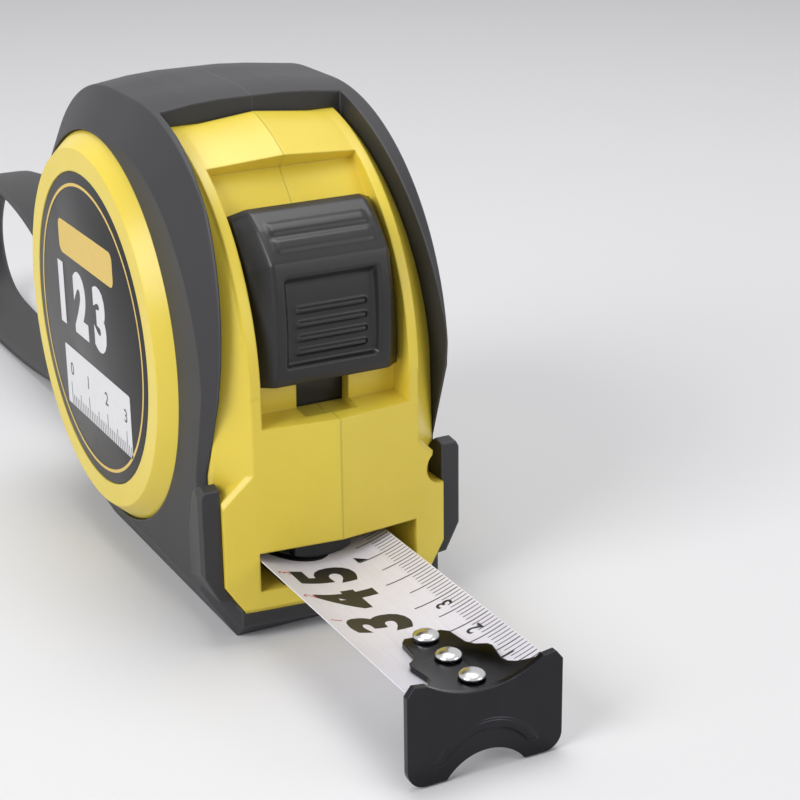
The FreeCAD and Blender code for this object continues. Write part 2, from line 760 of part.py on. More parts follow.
def spiral_face(first_radius, last_radius, pitch, thickness):
    """A flat spiral strip in the side view, made of half circles about two centres."""
    inner = []
    outer = []
    radius = first_radius
    turn = 0
    start = -first_radius
    inner_at = Vector(start, 0, AXIS)
    outer_at = Vector(start - thickness, 0, AXIS)
    while radius + pitch / 2 < last_radius:
        step = radius + pitch / 2 if turn else radius + pitch / 4
        sign = 1 if turn % 2 == 0 else -1
        centre = inner_at.x + sign * step
        for edges, at, grown in ((inner, inner_at, step), (outer, outer_at, step + thickness)):
            top = Vector(centre, 0, AXIS + sign * grown)
            end = Vector(centre + sign * grown, 0, AXIS)
            edges.append(Part.Arc(at, top, end).toShape())
        inner_at = Vector(centre + sign * step, 0, AXIS)
        outer_at = Vector(centre + sign * (step + thickness), 0, AXIS)
        radius = step
        turn += 1
    first_end = Part.LineSegment(Vector(start, 0, AXIS), Vector(start - thickness, 0, AXIS)).toShape()
    last_end = Part.LineSegment(inner_at, outer_at).toShape()
    return Part.Face(Part.Wire(Part.__sortEdges__(inner + outer + [first_end, last_end])))


spring = doc.addObject("Part::Feature", "spring_strip")
strip = spiral_face(
    size("post_radius") + 0.8,
    size("hub_inner") - size("spring_thick") - 0.3,
    size("spring_pitch"),
    size("spring_thick"),
)
spring.Shape = strip.extrude(Vector(0, size("spring_width"), 0))
spring.Placement = Placement(Vector(0, SIDE - size("spring_width") / 2, 0), Rotation())
label(spring, "power_spring")


# ---------------------------------------------------------------------------
# Blade, hook and rivets
# ---------------------------------------------------------------------------
CUP_RADIUS = ((size("blade_width") / 2) ** 2 + size("blade_cup") ** 2) / (2 * size("blade_cup"))
CUP_CENTRE = (SIDE, size("blade_height") + CUP_RADIUS)
CUP_ANGLE = math.degrees(math.asin(size("blade_width") / 2 / CUP_RADIUS))


def cupped(lower, upper, angle):
    """Front view of a curled strip between two offsets above the blade's middle line."""
    low_radius = CUP_RADIUS - lower
    high_radius = CUP_RADIUS - upper
    start = math.radians(270 - angle)
    outline = Outline(
        CUP_CENTRE[0] + low_radius * math.cos(start), CUP_CENTRE[1] + low_radius * math.sin(start)
    )
    outline.arc(CUP_CENTRE, low_radius, 270 - angle, 270 + angle)
    end = math.radians(270 + angle)
    outline.to(CUP_CENTRE[0] + high_radius * math.cos(end), CUP_CENTRE[1] + high_radius * math.sin(end))
    outline.arc(CUP_CENTRE, high_radius, 270 + angle, 270 - angle)
    return outline.close()


half_skin = size("blade_thick") / 2
blade_strip = prism(
    "blade_strip",
    "front",
    cupped(-half_skin, half_skin, CUP_ANGLE),
    "blade_start",
    "mouth_plane + blade_out - blade_start - 0.05",
)
RIVET_X = [
    "mouth_plane + blade_out - rivet_first - %d * rivet_pitch" % count for count in range(3)
]
rivet_holes = [
    stud("rivet_hole_%d" % count, "rivet_radius + rivet_gap", x, "blade_side", "5", "15")
    for count, x in enumerate(RIVET_X)
]
label(cut("blade_punched", blade_strip, *rivet_holes), "blade")

flat_top = AXIS - size("coil_outer") - 0.1
flat_low = flat_top - size("blade_thick")
flat_half = size("coil_width") / 2
flat_end = Outline(SIDE - flat_half, flat_low).to(SIDE + flat_half, flat_low)
flat_end.to(SIDE + flat_half, flat_top).to(SIDE - flat_half, flat_top)
label(
    loft(
        "feed_strip",
        [
            drawn("feed_flat", "front", flat_end.close(), "1"),
            drawn("feed_cupped", "front", cupped(-half_skin, half_skin, CUP_ANGLE), "blade_start - 0.1"),
        ],
    ),
    "blade_feed",
)

backing_outer = -half_skin - 0.02 - size("backing_thick")
backing_strip = prism(
    "backing_strip",
    "front",
    cupped(backing_outer, -half_skin - 0.02, 7),
    "mouth_plane + blade_out - tab_length + 0.6",
    "tab_length - 1.2",
)
label(cut("backing_punched", backing_strip, *rivet_holes), "rivet_plate")

TAB_LOW = half_skin + size("hook_gap")
TAB_TOP = TAB_LOW + size("tab_thick")


def hook_outline():
    """Front view of the hook's plate, with rounded lower corners, an arched notch and curled horns."""
    half = size("hook_half")
    low = size("hook_low")
    high = size("hook_high")
    corner = size("hook_corner")
    notch = size("hook_notch")
    rise = size("hook_notch_height")
    notch_radius = (notch ** 2 + rise ** 2) / (2 * rise)
    notch_angle = math.degrees(math.asin(notch / notch_radius))
    dip_half = half - 3.4
    dip_top = high - 0.3
    dip_low = size("blade_height") + TAB_TOP + 0.1
    dip_radius = (dip_half ** 2 + (dip_top - dip_low) ** 2) / (2 * (dip_top - dip_low))
    dip_angle = math.degrees(math.asin(dip_half / dip_radius))
    outline = Outline(SIDE - half + corner, low).to(SIDE - notch, low)
    outline.arc((SIDE, low + rise - notch_radius), notch_radius, 90 + notch_angle, 90 - notch_angle)
    outline.to(SIDE + half - corner, low)
    outline.arc((SIDE + half - corner, low + corner), corner, -90, 0)
    outline.to(SIDE + half, high - 1.5).to(SIDE + half - 1.2, high).to(SIDE + dip_half, dip_top)
    outline.arc((SIDE, dip_low + dip_radius), dip_radius, 270 + dip_angle, 270 - dip_angle)
    outline.to(SIDE - half + 1.2, high).to(SIDE - half, high - 1.5).to(SIDE - half, low + corner)
    outline.arc((SIDE - half + corner, low + corner), corner, 180, 270)
    return outline.close()


def tab_outline():
    """Plan of the hook's tab: a flare at the plate, a waist, shoulders and a narrow rear end."""
    neck = size("tab_neck_half")
    back = PLATE - size("tab_length")
    side_points = [
        (PLATE + 0.4, 12.2),
        (PLATE - 0.8, 11.2),
        (PLATE - 1.9, 9.4),
        (PLATE - 2.8, 7.8),
        (PLATE - 4.0, 6.8),
        (PLATE - 5.4, 6.5),
        (PLATE - 7.2, 6.8),
        (PLATE - 9.4, 7.2),
        (PLATE - 10.4, 6.9),
        (PLATE - 11.8, neck + 1.2),
        (PLATE - 13.4, neck + 0.4),
        (back + 1.2, neck),
        (back, neck - 1.0),
    ]
    outline = Outline(side_points[0][0], SIDE + side_points[0][1])
    for x, y in side_points[1:]:
        outline.to(x, SIDE + y)
    for x, y in reversed(side_points):
        outline.to(x, SIDE - y)
    return outline.close()


hook_plate = prism("hook_plate", "front", hook_outline(), "mouth_plane + blade_out", "hook_thick")
tab_strip = prism(
    "tab_strip",
    "front",
    cupped(TAB_LOW, TAB_TOP, CUP_ANGLE),
    "mouth_plane + blade_out - tab_length - 1",
    "tab_length + 1.4",
)
hook_tab = common("hook_tab", tab_strip, prism("tab_plan", "plan", tab_outline(), "5", "20"))
hook_slots = []
for count, x in enumerate(RIVET_X):
    hook_slots.append(stud("slot_front_%d" % count, "rivet_radius + rivet_gap", x, "blade_side", "5", "15"))
    hook_slots.append(
        stud(
            "slot_back_%d" % count,
            "rivet_radius + rivet_gap",
            x + " - hook_travel",
            "blade_side",
            "5",
            "15",
        )
    )
    hook_slots.append(
        box(
            "slot_run_%d" % count,
            (x + " - hook_travel", x),
            ("blade_side - rivet_radius - rivet_gap", "blade_side + rivet_radius + rivet_gap"),
            ("5", "20"),
        )
    )
label(cut("hook_slotted", fuse("hook_solid", hook_plate, hook_tab), *hook_slots), "hook")

TAB_FACE = "blade_height + blade_thick / 2 + hook_gap + tab_thick"
TAIL_FACE = "blade_height - blade_thick / 2 - 0.02 - backing_thick"
rivets = []
for count, x in enumerate(RIVET_X):
    rivets.append(
        stud("rivet_shank_%d" % count, "rivet_radius", x, "blade_side", TAIL_FACE + " - 0.2", "3.4"),
    )
    rivets.append(
        stud(
            "rivet_head_%d" % count,
            "rivet_head_radius",
            x,
            "blade_side",
            TAB_FACE + " + 0.15",
            "rivet_head / 2",
        )
    )
    dome = doc.addObject("Part::Cone", "rivet_dome_%d" % count)
    bind(dome, Placement__Base__x=x, Placement__Base__y="blade_side")
    bind(dome, Placement__Base__z=TAB_FACE + " + 0.15 + rivet_head / 2")
    bind(dome, Radius1="rivet_head_radius", Radius2="rivet_head_radius / 2", Height="rivet_head / 2")
    rivets.append(dome)
    rivets.append(
        stud(
            "rivet_tail_%d" % count,
            "rivet_head_radius - 0.4",
            x,
            "blade_side",
            TAIL_FACE + " - 0.5",
            "0.45",
        )
    )
label(fuse("rivet_set", *rivets), "hook_rivets")

# ---------------------------------------------------------------------------
# Thumb lock, brake shoe and pad
# ---------------------------------------------------------------------------
def slider_outline(lift):
    """Side view of the thumb slider, a wedge that rises to a peak above a sloping thumb rest."""
    low = size("slider_low")
    high = size("slider_high")
    inner = size("window_radius") + size("slider_gap")
    rise = size("slider_peak") - inner
    outer_points = [
        (0.43, high),
        (0.59, high - 1.5),
        (0.78, high - 5.5),
        (1.0, high - 12),
        (0.98, high - 13),
        (0.56, low + 4.4),
        (0.50, low + 1.6),
        (0.42, low),
    ]
    outline = Outline(*polar(inner, low))
    outline.arc((0, AXIS), inner, low, high)
    for share, angle in outer_points:
        outline.to(*polar(inner + share * rise * lift, angle))
    return outline.close()


slider_side = loft(
    "slider_side",
    [
        drawn("slider_mid", "side", slider_outline(1), "0"),
        drawn("slider_shoulder", "side", slider_outline(1), "slider_half - slider_draft"),
        drawn("slider_rim", "side", slider_outline(size("slider_rim_share")), "slider_half"),
    ],
)
pad_floor = size("slider_peak")
thumb_rest = Outline(
    *polar(pad_floor - 2.2, size("slider_high") - 15.5),
).to(*polar(62, size("slider_high") - 13.5))
thumb_rest.to(*polar(62, size("slider_low") + 2)).to(*polar(pad_floor - 5.4, size("slider_low") + 3.4))
thumb_room = prism("thumb_room", "side", thumb_rest.close(), "0 - rest_half", "2 * rest_half")
slider_block = cut(
    "slider_block",
    fuse("slider_sides", slider_side, mirrored("slider_twin", slider_side)),
    thumb_room,
)
neck_low = size("slider_low") + 7
neck_high = size("slider_high") - 14
slider_neck = prism(
    "slider_neck",
    "side",
    sector(size("carrier_outer"), size("window_radius") + 1, neck_low, neck_high),
    "0 - neck_half",
    "2 * neck_half",
)
label(fuse("slider_whole", slider_block, slider_neck), "lock_slider")
label(
    prism(
        "carrier_plate",
        "side",
        sector(size("carrier_inner"), size("carrier_outer"), -18, size("slider_high") + 1.5),
        "0 - carrier_half",
        "2 * carrier_half",
    ),
    "lock_carrier",
)

shoe_low = size("blade_height") + half_skin + size("shoe_gap")
shoe_radius = 14.0
shoe_angle = math.degrees(math.asin(size("shoe_half") / shoe_radius))
shoe_shoulder = shoe_low + shoe_radius * (1 - math.cos(math.radians(shoe_angle)))
shoe_view = Outline(SIDE - size("shoe_half"), shoe_shoulder)
shoe_view.arc((SIDE, shoe_low + shoe_radius), shoe_radius, 270 - shoe_angle, 270 + shoe_angle)
shoe_view.to(SIDE + size("shoe_half"), size("shoe_top")).to(SIDE - size("shoe_half"), size("shoe_top"))
label(prism("shoe_block", "front", shoe_view.close(), "shoe_back", "shoe_front - shoe_back"), "brake_shoe")
label(
    box(
        "pad_block",
        ("pad_back", "mouth_plane"),
        ("blade_side - pad_half", "blade_side + pad_half"),
        ("mouth_low", "pad_top"),
    ),
    "blade_pad",
)

# ---------------------------------------------------------------------------
# Belt clip
# ---------------------------------------------------------------------------
clip_base = size("ring_half") + 0.02
clip_out = clip_base + size("clip_thick") + size("clip_gap")
clip_thick = size("clip_thick")
clip_top = size("clip_top")
clip_low = size("clip_low")
bend = (size("clip_gap") + 2 * clip_thick) / 2
clip_view = Outline(clip_base, clip_top - 16).to(clip_base + clip_thick, clip_top - 16)
clip_view.to(clip_base + clip_thick, clip_top - bend)
clip_view.arc((clip_base + bend, clip_top - bend), bend - clip_thick, 180, 0)
clip_view.to(clip_out, clip_low + 8).to(clip_out - 3, clip_low + 4).to(clip_out - 1, clip_low)
clip_view.to(clip_out, clip_low).to(clip_out - 1.9, clip_low + 4).to(clip_out + clip_thick, clip_low + 8.3)
clip_view.to(clip_out + clip_thick, clip_top - bend)
clip_view.arc((clip_base + bend, clip_top - bend), bend, 0, 180)
clip_strip = prism("clip_strip", "front", clip_view.close(), "0 - clip_half", "2 * clip_half")
clip_hole = rod("clip_hole", "screw_radius + screw_gap", "20", "ring_half - 17", "0", "clip_top - 8")
label(cut("clip_drilled", clip_strip, clip_hole), "belt_clip")
label(
    screw(
        "clip_screw_solid",
        "ring_half + clip_thick + 0.04",
        "screw_head",
        "21",
        "ring_half + clip_thick - 20.9",
        "0",
        "clip_top - 8",
    ),
    "clip_screw",
)

# ---------------------------------------------------------------------------
# Wrist strap with its pin and clasp
# ---------------------------------------------------------------------------
label(
    ring_body(
        "pin_rod",
        "pin_radius",
        None,
        "0 - ear_inner - ear_thick + 0.5",
        "2 * ( ear_inner + ear_thick - 0.5 )",
        "0 - pin_reach",
        "pin_height",
    ),
    "strap_pin",
)
clasp_block = box(
    "clasp_block",
    ("0 - pin_reach - clasp_length", "0 - pin_reach"),
    ("0 - strap_width / 2", "strap_width / 2"),
    ("pin_height - clasp_high / 2", "pin_height + clasp_high / 2"),
)
clasp_eye = rod(
    "clasp_eye",
    "clasp_high / 2 - 0.8",
    "0 - strap_width / 2",
    "strap_width",
    "0 - pin_reach",
    "pin_height",
)
clasp_front = box(
    "clasp_front",
    ("0 - pin_reach - 1", "0 - pin_reach + 10"),
    ("0 - strap_width", "strap_width"),
    ("0", "40"),
)
clasp_bore = rod(
    "clasp_bore",
    "pin_radius + bearing_gap",
    "0 - strap_width",
    "2 * strap_width",
    "0 - pin_reach",
    "pin_height",
)
label(
    cut(
        "clasp_bored",
        fuse("clasp_solid", cut("clasp_rear", clasp_block, clasp_front), clasp_eye),
        clasp_bore,
    ),
    "strap_clasp",
)

# The strap's middle line in the side view, from the clasp up and round to the base and back.
STRAP_POINTS = [
    (-53.75, 19.3),
    (-64.0, 23.5),
    (-80.0, 33.5),
    (-104.0, 41.0),
    (-132.0, 41.5),
    (-156.0, 34.0),
    (-169.0, 18.0),
    (-163.0, 3.5),
    (-143.0, 0.8),
    (-103.0, 0.8),
    (-72.0, 5.0),
    (-53.75, 14.7),
]


def smooth_path(points):
    """Straight runs joined by tangent arcs, each as large as its two runs allow, and the arcs' radii."""
    corners = [Vector(x, 0, z) for x, z in points]
    edges = []
    radii = []
    at = corners[0]
    for before, corner, after in zip(corners, corners[1:], corners[2:]):
        back = before - corner
        ahead = after - corner
        half_turn = (math.pi - back.getAngle(ahead)) / 2
        reach = 0.45 * min(back.Length, ahead.Length)
        radii.append(reach / math.tan(half_turn))
        back.normalize()
        ahead.normalize()
        start = corner + back * reach
        end = corner + ahead * reach
        bisector = back + ahead
        bisector.normalize()
        centre = corner + bisector * (radii[-1] / math.cos(half_turn))
        middle = centre - bisector * radii[-1]
        edges.append(Part.LineSegment(at, start).toShape())
        edges.append(Part.Arc(start, middle, end).toShape())
        at = end
    edges.append(Part.LineSegment(at, corners[-1]).toShape())
    return Part.Wire(edges), radii


strap_path, strap_radii = smooth_path(STRAP_POINTS)
strap_across = Vector(0, size("strap_width"), 0)
first_run = Vector(STRAP_POINTS[1][0] - STRAP_POINTS[0][0], 0, STRAP_POINTS[1][1] - STRAP_POINTS[0][1])
first_run.normalize()
strap_up = Vector(-first_run.z, 0, first_run.x) * (size("strap_thick") / 2)
strap_corner = Vector(STRAP_POINTS[0][0], 0, STRAP_POINTS[0][1]) - strap_across / 2
strap_section = Part.makePolygon(
    [
        strap_corner - strap_up,
        strap_corner + strap_up,
        strap_corner + strap_up + strap_across,
        strap_corner - strap_up + strap_across,
        strap_corner - strap_up,
    ]
)
sweep = Part.BRepOffsetAPI.MakePipeShell(strap_path)
sweep.setBiNormalMode(Vector(0, 1, 0))
sweep.add(Part.Wire(strap_section.Edges), False, False)
sweep.build()
sweep.makeSolid()
strap = doc.addObject("Part::Feature", "strap_band")
strap.Shape = sweep.shape()
label(strap, "wrist_strap")
print("strap radii", [round(radius, 1) for radius in strap_radii], "length", round(strap_path.Length, 1))
strap_volume = strap_path.Length * size("strap_width") * size("strap_thick")
print("strap volume", round(strap.Shape.Volume, 1), "expected", round(strap_volume, 1))

# ---------------------------------------------------------------------------
# Check and write
# ---------------------------------------------------------------------------
doc.recompute()
for item in doc.Objects:
    if "Invalid" in item.State or "Error" in item.State:
        raise RuntimeError("%s is in state %s" % (item.Name, item.State))
for piece in nodes:
    if piece.Shape.isNull() or not piece.Shape.isValid() or not piece.Shape.Solids:
        raise RuntimeError("%s has no valid solid" % piece.Label)

os.makedirs("parts", exist_ok=True)
for piece in nodes:
    piece.Shape.exportStep("parts/%s.step" % piece.Label)
    print("%-14s solids %d volume %.1f" % (piece.Label, len(piece.Shape.Solids), piece.Shape.Volume))
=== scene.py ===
import math

import bmesh
import bpy
from mathutils import Matrix, Vector


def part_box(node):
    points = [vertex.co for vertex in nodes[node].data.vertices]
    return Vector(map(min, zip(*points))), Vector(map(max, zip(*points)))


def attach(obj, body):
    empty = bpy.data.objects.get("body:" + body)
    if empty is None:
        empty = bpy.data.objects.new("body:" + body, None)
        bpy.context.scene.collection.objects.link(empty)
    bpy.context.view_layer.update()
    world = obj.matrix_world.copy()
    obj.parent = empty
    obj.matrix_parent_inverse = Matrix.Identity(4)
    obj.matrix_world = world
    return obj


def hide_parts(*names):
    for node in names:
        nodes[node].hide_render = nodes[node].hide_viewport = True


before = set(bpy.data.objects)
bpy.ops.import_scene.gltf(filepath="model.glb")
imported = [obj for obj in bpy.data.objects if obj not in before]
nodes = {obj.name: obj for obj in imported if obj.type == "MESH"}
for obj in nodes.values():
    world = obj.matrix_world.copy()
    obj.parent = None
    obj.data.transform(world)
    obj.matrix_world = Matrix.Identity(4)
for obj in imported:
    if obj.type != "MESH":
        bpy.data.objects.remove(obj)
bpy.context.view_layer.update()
mm = 0.001

# ---------------------------------------------------------------------------
# Camera. It looks down on the mouth from ahead of the case and a little to its label side, with a
# long lens, so the front, the label flank and the top all show.
# ---------------------------------------------------------------------------
yaw = math.radians(27.552)
pitch = math.radians(20.562)
roll = math.radians(-0.725)
away = Vector((math.cos(yaw) * math.cos(pitch), -math.sin(yaw) * math.cos(pitch), math.sin(pitch)))
level = (-away).cross(Vector((0, 0, 1))).normalized()
upright = level.cross(-away)
side_on = level * math.cos(roll) + upright * math.sin(roll)
upward = upright * math.cos(roll) - level * math.sin(roll)
camera = bpy.data.objects.new("camera", bpy.data.cameras.new("camera"))
camera.data.lens = 88.57
camera.data.sensor_width = 36
camera.data.clip_start = 0.01
camera.matrix_world = Matrix.Translation((0.33078, -0.13363, 0.15766)) @ Matrix(
    (side_on, upward, away)
).transposed().to_4x4()
bpy.context.scene.collection.objects.link(camera)
bpy.context.scene.camera = camera

# ---------------------------------------------------------------------------
# Wrist strap. A flat woven tape, 15 mm wide and 1.2 mm thick, both ends of which go into the clasp
# behind the case. It stands up out of the clasp, turns over and lies back along the table.
# ---------------------------------------------------------------------------
strap_width = 15 * mm
strap_thick = 1.2 * mm
strap_route = [
    (-53.75, 19.3),
    (-64.0, 23.5),
    (-80.0, 33.5),
    (-104.0, 41.0),
    (-132.0, 41.5),
    (-156.0, 34.0),
    (-169.0, 18.0),
    (-163.0, 3.5),
    (-143.0, 0.8),
    (-103.0, 0.8),
    (-72.0, 5.0),
    (-53.75, 14.7),
]


def lay_line(name, points):
    """A smooth line through space with the points as its controls, and the points along it."""
    curve = bpy.data.curves.new(name, "CURVE")
    curve.dimensions = "3D"
    curve.resolution_u = 24
    spline = curve.splines.new("NURBS")
    spline.points.add(len(points) - 1)
    for control, (x, z) in zip(spline.points, points):
        control.co = (x * mm, 0, z * mm, 1)
    spline.order_u = 3
    spline.use_endpoint_u = True
    line = bpy.data.objects.new(name, curve)
    bpy.context.scene.collection.objects.link(line)
    mesh = bpy.data.meshes.new_from_object(line.evaluated_get(bpy.context.evaluated_depsgraph_get()))
    along = [vertex.co.copy() for vertex in mesh.vertices]
    bpy.data.meshes.remove(mesh)
    bpy.data.objects.remove(line)
    return along


def new_piece(name, mesh, body, material):
    """Puts a mesh in the scene on a body, with its finish."""
    piece = bpy.data.objects.new(name, mesh)
    bpy.context.scene.collection.objects.link(piece)
    mesh.materials.clear()
    mesh.materials.append(material)
    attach(piece, body)
    return piece


def node(made, kind, values=(), **settings):
    """A new node with its settings and its plain input values."""
    fresh = made.new(kind)
    for setting, choice in settings.items():
        setattr(fresh, setting, choice)
    for place, value in dict(values).items():
        fresh.inputs[place].default_value = value
    return fresh


def shader(name, colour, roughness, metallic=0.0):
    """A material with a node tree and its main shader's plain values set."""
    material = bpy.data.materials.new(name)
    material.use_nodes = True
    surface = material.node_tree.nodes["Principled BSDF"]
    surface.inputs["Base Color"].default_value = (*colour, 1)
    surface.inputs["Roughness"].default_value = roughness
    surface.inputs["Metallic"].default_value = metallic
    return material, material.node_tree.nodes, material.node_tree.links, surface


def place_mesh(name, vertices, faces, smooth=True):
    """A mesh from lists, with its faces turned outwards."""
    mesh = bpy.data.meshes.new(name)
    mesh.from_pydata(vertices, [], faces)
    shape = bmesh.new()
    shape.from_mesh(mesh)
    bmesh.ops.remove_doubles(shape, verts=shape.verts, dist=1e-7)
    bmesh.ops.recalc_face_normals(shape, faces=shape.faces)
    shape.to_mesh(mesh)
    shape.free()
    for polygon in mesh.polygons:
        polygon.use_smooth = smooth
    return mesh


def woven_black():
    """Black polyester tape with a fine twill."""
    material, made, links, surface = shader("strap_weave", (0.022, 0.022, 0.024), 0.82)
    surface.inputs["Sheen Weight"].default_value = 0.25
    surface.inputs["Sheen Roughness"].default_value = 0.5
    cloth = node(made, "ShaderNodeUVMap", uv_map="cloth")
    turn = node(
        made, "ShaderNodeMapping",
        {"Rotation": (0, 0, math.radians(38)), "Scale": (1900, 1900, 1)},
    )
    ribs = node(made, "ShaderNodeTexWave", {"Scale": 0.42, "Distortion": 0.6})
    threads = node(made, "ShaderNodeTexNoise", {"Scale": 1.6})
    shade = made.new("ShaderNodeValToRGB")
    shade.color_ramp.elements[0].color = (0.010, 0.010, 0.011, 1)
    shade.color_ramp.elements[1].color = (0.045, 0.045, 0.048, 1)
    raise_up = node(made, "ShaderNodeBump", {"Strength": 0.7, "Distance": 0.00025})
    mix = node(made, "ShaderNodeMath", {1: 0.35}, operation="MULTIPLY_ADD")
    links.new(cloth.outputs["UV"], turn.inputs["Vector"])
    links.new(turn.outputs["Vector"], ribs.inputs["Vector"])
    links.new(turn.outputs["Vector"], threads.inputs["Vector"])
    links.new(threads.outputs["Fac"], mix.inputs[0])
    links.new(ribs.outputs["Fac"], mix.inputs[2])
    links.new(mix.outputs["Value"], shade.inputs["Fac"])
    links.new(shade.outputs["Color"], surface.inputs["Base Color"])
    links.new(mix.outputs["Value"], raise_up.inputs["Height"])
    links.new(raise_up.outputs["Normal"], surface.inputs["Normal"])
    return material


def strap_mesh(along):
    """A closed flat tape round the line, crowned a little, with its length and width as its UVs."""
    section = []
    for step in range(13):
        across = -0.5 + step / 12
        edge = max(0.0, 1 - (2 * abs(across)) ** 8)
        section.append((across, 0.5 * edge ** 0.5 * (0.9 + 0.1 * edge)))
    section = section + [(across, -lift) for across, lift in reversed(section[1:-1])]
    vertices = []
    faces = []
    uvs = []
    run = 0.0
    for index, point in enumerate(along):
        before = along[max(index - 1, 0)]
        after = along[min(index + 1, len(along) - 1)]
        ahead = (after - before).normalized()
        over = Vector((-ahead.z, 0, ahead.x))
        if index:
            run += (point - along[index - 1]).length
        for across, lift in section:
            vertices.append(point + Vector((0, across * strap_width, 0)) + over * (lift * strap_thick))
            uvs.append((run, across * strap_width))
    count = len(section)
    for index in range(len(along) - 1):
        for step in range(count):
            nearby = (step + 1) % count
            faces.append(
                (
                    index * count + step,
                    index * count + nearby,
                    (index + 1) * count + nearby,
                    (index + 1) * count + step,
                )
            )
    faces.append(tuple(range(count)))
    faces.append(tuple(range((len(along) - 1) * count, len(along) * count)))
    mesh = bpy.data.meshes.new("wrist_strap_weave")
    mesh.from_pydata(vertices, [], faces)
    layer = mesh.uv_layers.new(name="cloth")
    for loop in mesh.loops:
        layer.data[loop.index].uv = uvs[loop.vertex_index]
    shape = bmesh.new()
    shape.from_mesh(mesh)
    bmesh.ops.recalc_face_normals(shape, faces=shape.faces)
    shape.to_mesh(mesh)
    shape.free()
    for polygon in mesh.polygons:
        polygon.use_smooth = len(polygon.vertices) == 4
    return mesh


strap_line = lay_line("strap_line", strap_route)
strap = new_piece("strap", strap_mesh(strap_line), "case", woven_black())
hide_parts("wrist_strap")

# ---------------------------------------------------------------------------
# Studio. A pale matt table, three soft lamps and a pale surround that mirrors and eyes both see.
# ---------------------------------------------------------------------------
table_shade, made, links, surface = shader("table", (0.80, 0.80, 0.81), 0.9)
surface.inputs["Specular IOR Level"].default_value = 0.1
bpy.ops.mesh.primitive_plane_add(size=6, location=(0, 0, 0))
table = bpy.context.object
table.name = "table"
table.data.materials.append(table_shade)


def lamp(name, place, aim, size, power):
    """A square soft lamp that faces a point."""
    light = bpy.data.lights.new(name, "AREA")
    light.size = size
    light.energy = power
    source = bpy.data.objects.new(name, light)
    source.location = place
    source.rotation_euler = (Vector(place) - Vector(aim)).to_track_quat("Z", "Y").to_euler()
    bpy.context.scene.collection.objects.link(source)


lamp("lamp_left", (0.25, -0.75, 0.55), (0, 0, 0.04), 0.5, 4.9)
lamp("lamp_top", (-0.1, 0.1, 0.95), (0, 0, 0.04), 0.6, 4.7)
lamp("lamp_right", (0.75, 0.55, 0.35), (0, 0, 0.04), 0.5, 1.6)
world = bpy.data.worlds.new("surround")
bpy.context.scene.world = world
world.use_nodes = True
ground = world.node_tree.nodes["Background"]
ground.inputs["Color"].default_value = (0.30, 0.30, 0.31, 1)
ground.inputs["Strength"].default_value = 1.0
rays = world.node_tree.nodes.new("ShaderNodeLightPath")
seen = node(world.node_tree.nodes, "ShaderNodeBackground", {"Color": (0.86, 0.86, 0.87, 1)})
mirrored_too = node(world.node_tree.nodes, "ShaderNodeMath", operation="ADD")
through_too = node(world.node_tree.nodes, "ShaderNodeMath", operation="ADD", use_clamp=True)
world.node_tree.links.new(rays.outputs["Is Camera Ray"], mirrored_too.inputs[0])
world.node_tree.links.new(rays.outputs["Is Glossy Ray"], mirrored_too.inputs[1])
world.node_tree.links.new(mirrored_too.outputs[0], through_too.inputs[0])
world.node_tree.links.new(rays.outputs["Is Transmission Ray"], through_too.inputs[1])
blend = world.node_tree.nodes.new("ShaderNodeMixShader")
world.node_tree.links.new(through_too.outputs[0], blend.inputs["Fac"])
world.node_tree.links.new(ground.outputs["Background"], blend.inputs[1])
world.node_tree.links.new(seen.outputs["Background"], blend.inputs[2])
world.node_tree.links.new(blend.outputs["Shader"], world.node_tree.nodes["World Output"].inputs["Surface"])
bpy.context.scene.view_settings.view_transform = "Standard"

# ---------------------------------------------------------------------------
# Case halves. Glossy yellow ABS, moulded in two halves that meet in the middle plane, with a faint
# orange peel, soft corners and a faintly uneven tone.
# ---------------------------------------------------------------------------


def moulded(name, colour, dark, roughness, grain, depth, corner, coat=0.0, glow=0.0):
    """Moulded plastic or rubber: uneven gloss, a fine skin grain and softened edges."""
    material, made, links, surface = shader(name, colour, roughness)
    surface.inputs["Coat Weight"].default_value = coat
    surface.inputs["Coat Roughness"].default_value = 0.25
    if glow:
        surface.inputs["Subsurface Weight"].default_value = glow
        surface.inputs["Subsurface Radius"].default_value = (1.0, 0.45, 0.1)
        surface.inputs["Subsurface Scale"].default_value = 0.002
    place = made.new("ShaderNodeTexCoord")
    clouds = node(made, "ShaderNodeTexNoise", {"Scale": 38, "Detail": 6})
    tone = node(made, "ShaderNodeMix", {"A": (*colour, 1), "B": (*dark, 1)}, data_type="RGBA")
    spread = node(made, "ShaderNodeMapRange", {"From Min": 0.42, "From Max": 0.85, "To Max": 0.55})
    gloss = node(
        made, "ShaderNodeMapRange",
        {"From Min": 0.3, "From Max": 0.7, "To Min": roughness - 0.05, "To Max": roughness + 0.08},
    )
    skin = node(made, "ShaderNodeTexNoise", {"Scale": grain, "Detail": 3})
    round_off = node(made, "ShaderNodeBevel", {"Radius": corner}, samples=6)
    press = node(made, "ShaderNodeBump", {"Strength": 0.35, "Distance": depth})
    links.new(place.outputs["Object"], clouds.inputs["Vector"])
    links.new(place.outputs["Object"], skin.inputs["Vector"])
    links.new(clouds.outputs["Fac"], spread.inputs["Value"])
    links.new(spread.outputs["Result"], tone.inputs["Factor"])
    links.new(tone.outputs["Result"], surface.inputs["Base Color"])
    links.new(clouds.outputs["Fac"], gloss.inputs["Value"])
    links.new(gloss.outputs["Result"], surface.inputs["Roughness"])
    links.new(skin.outputs["Fac"], press.inputs["Height"])
    links.new(round_off.outputs["Normal"], press.inputs["Normal"])
    links.new(press.outputs["Normal"], surface.inputs["Normal"])
    return material


def finish_node(name, material):
    """Gives a carried-over piece its finish."""
    piece = nodes[name]
    if piece.material_slots:
        for place in piece.material_slots:
            place.material = material
    else:
        piece.data.materials.append(material)


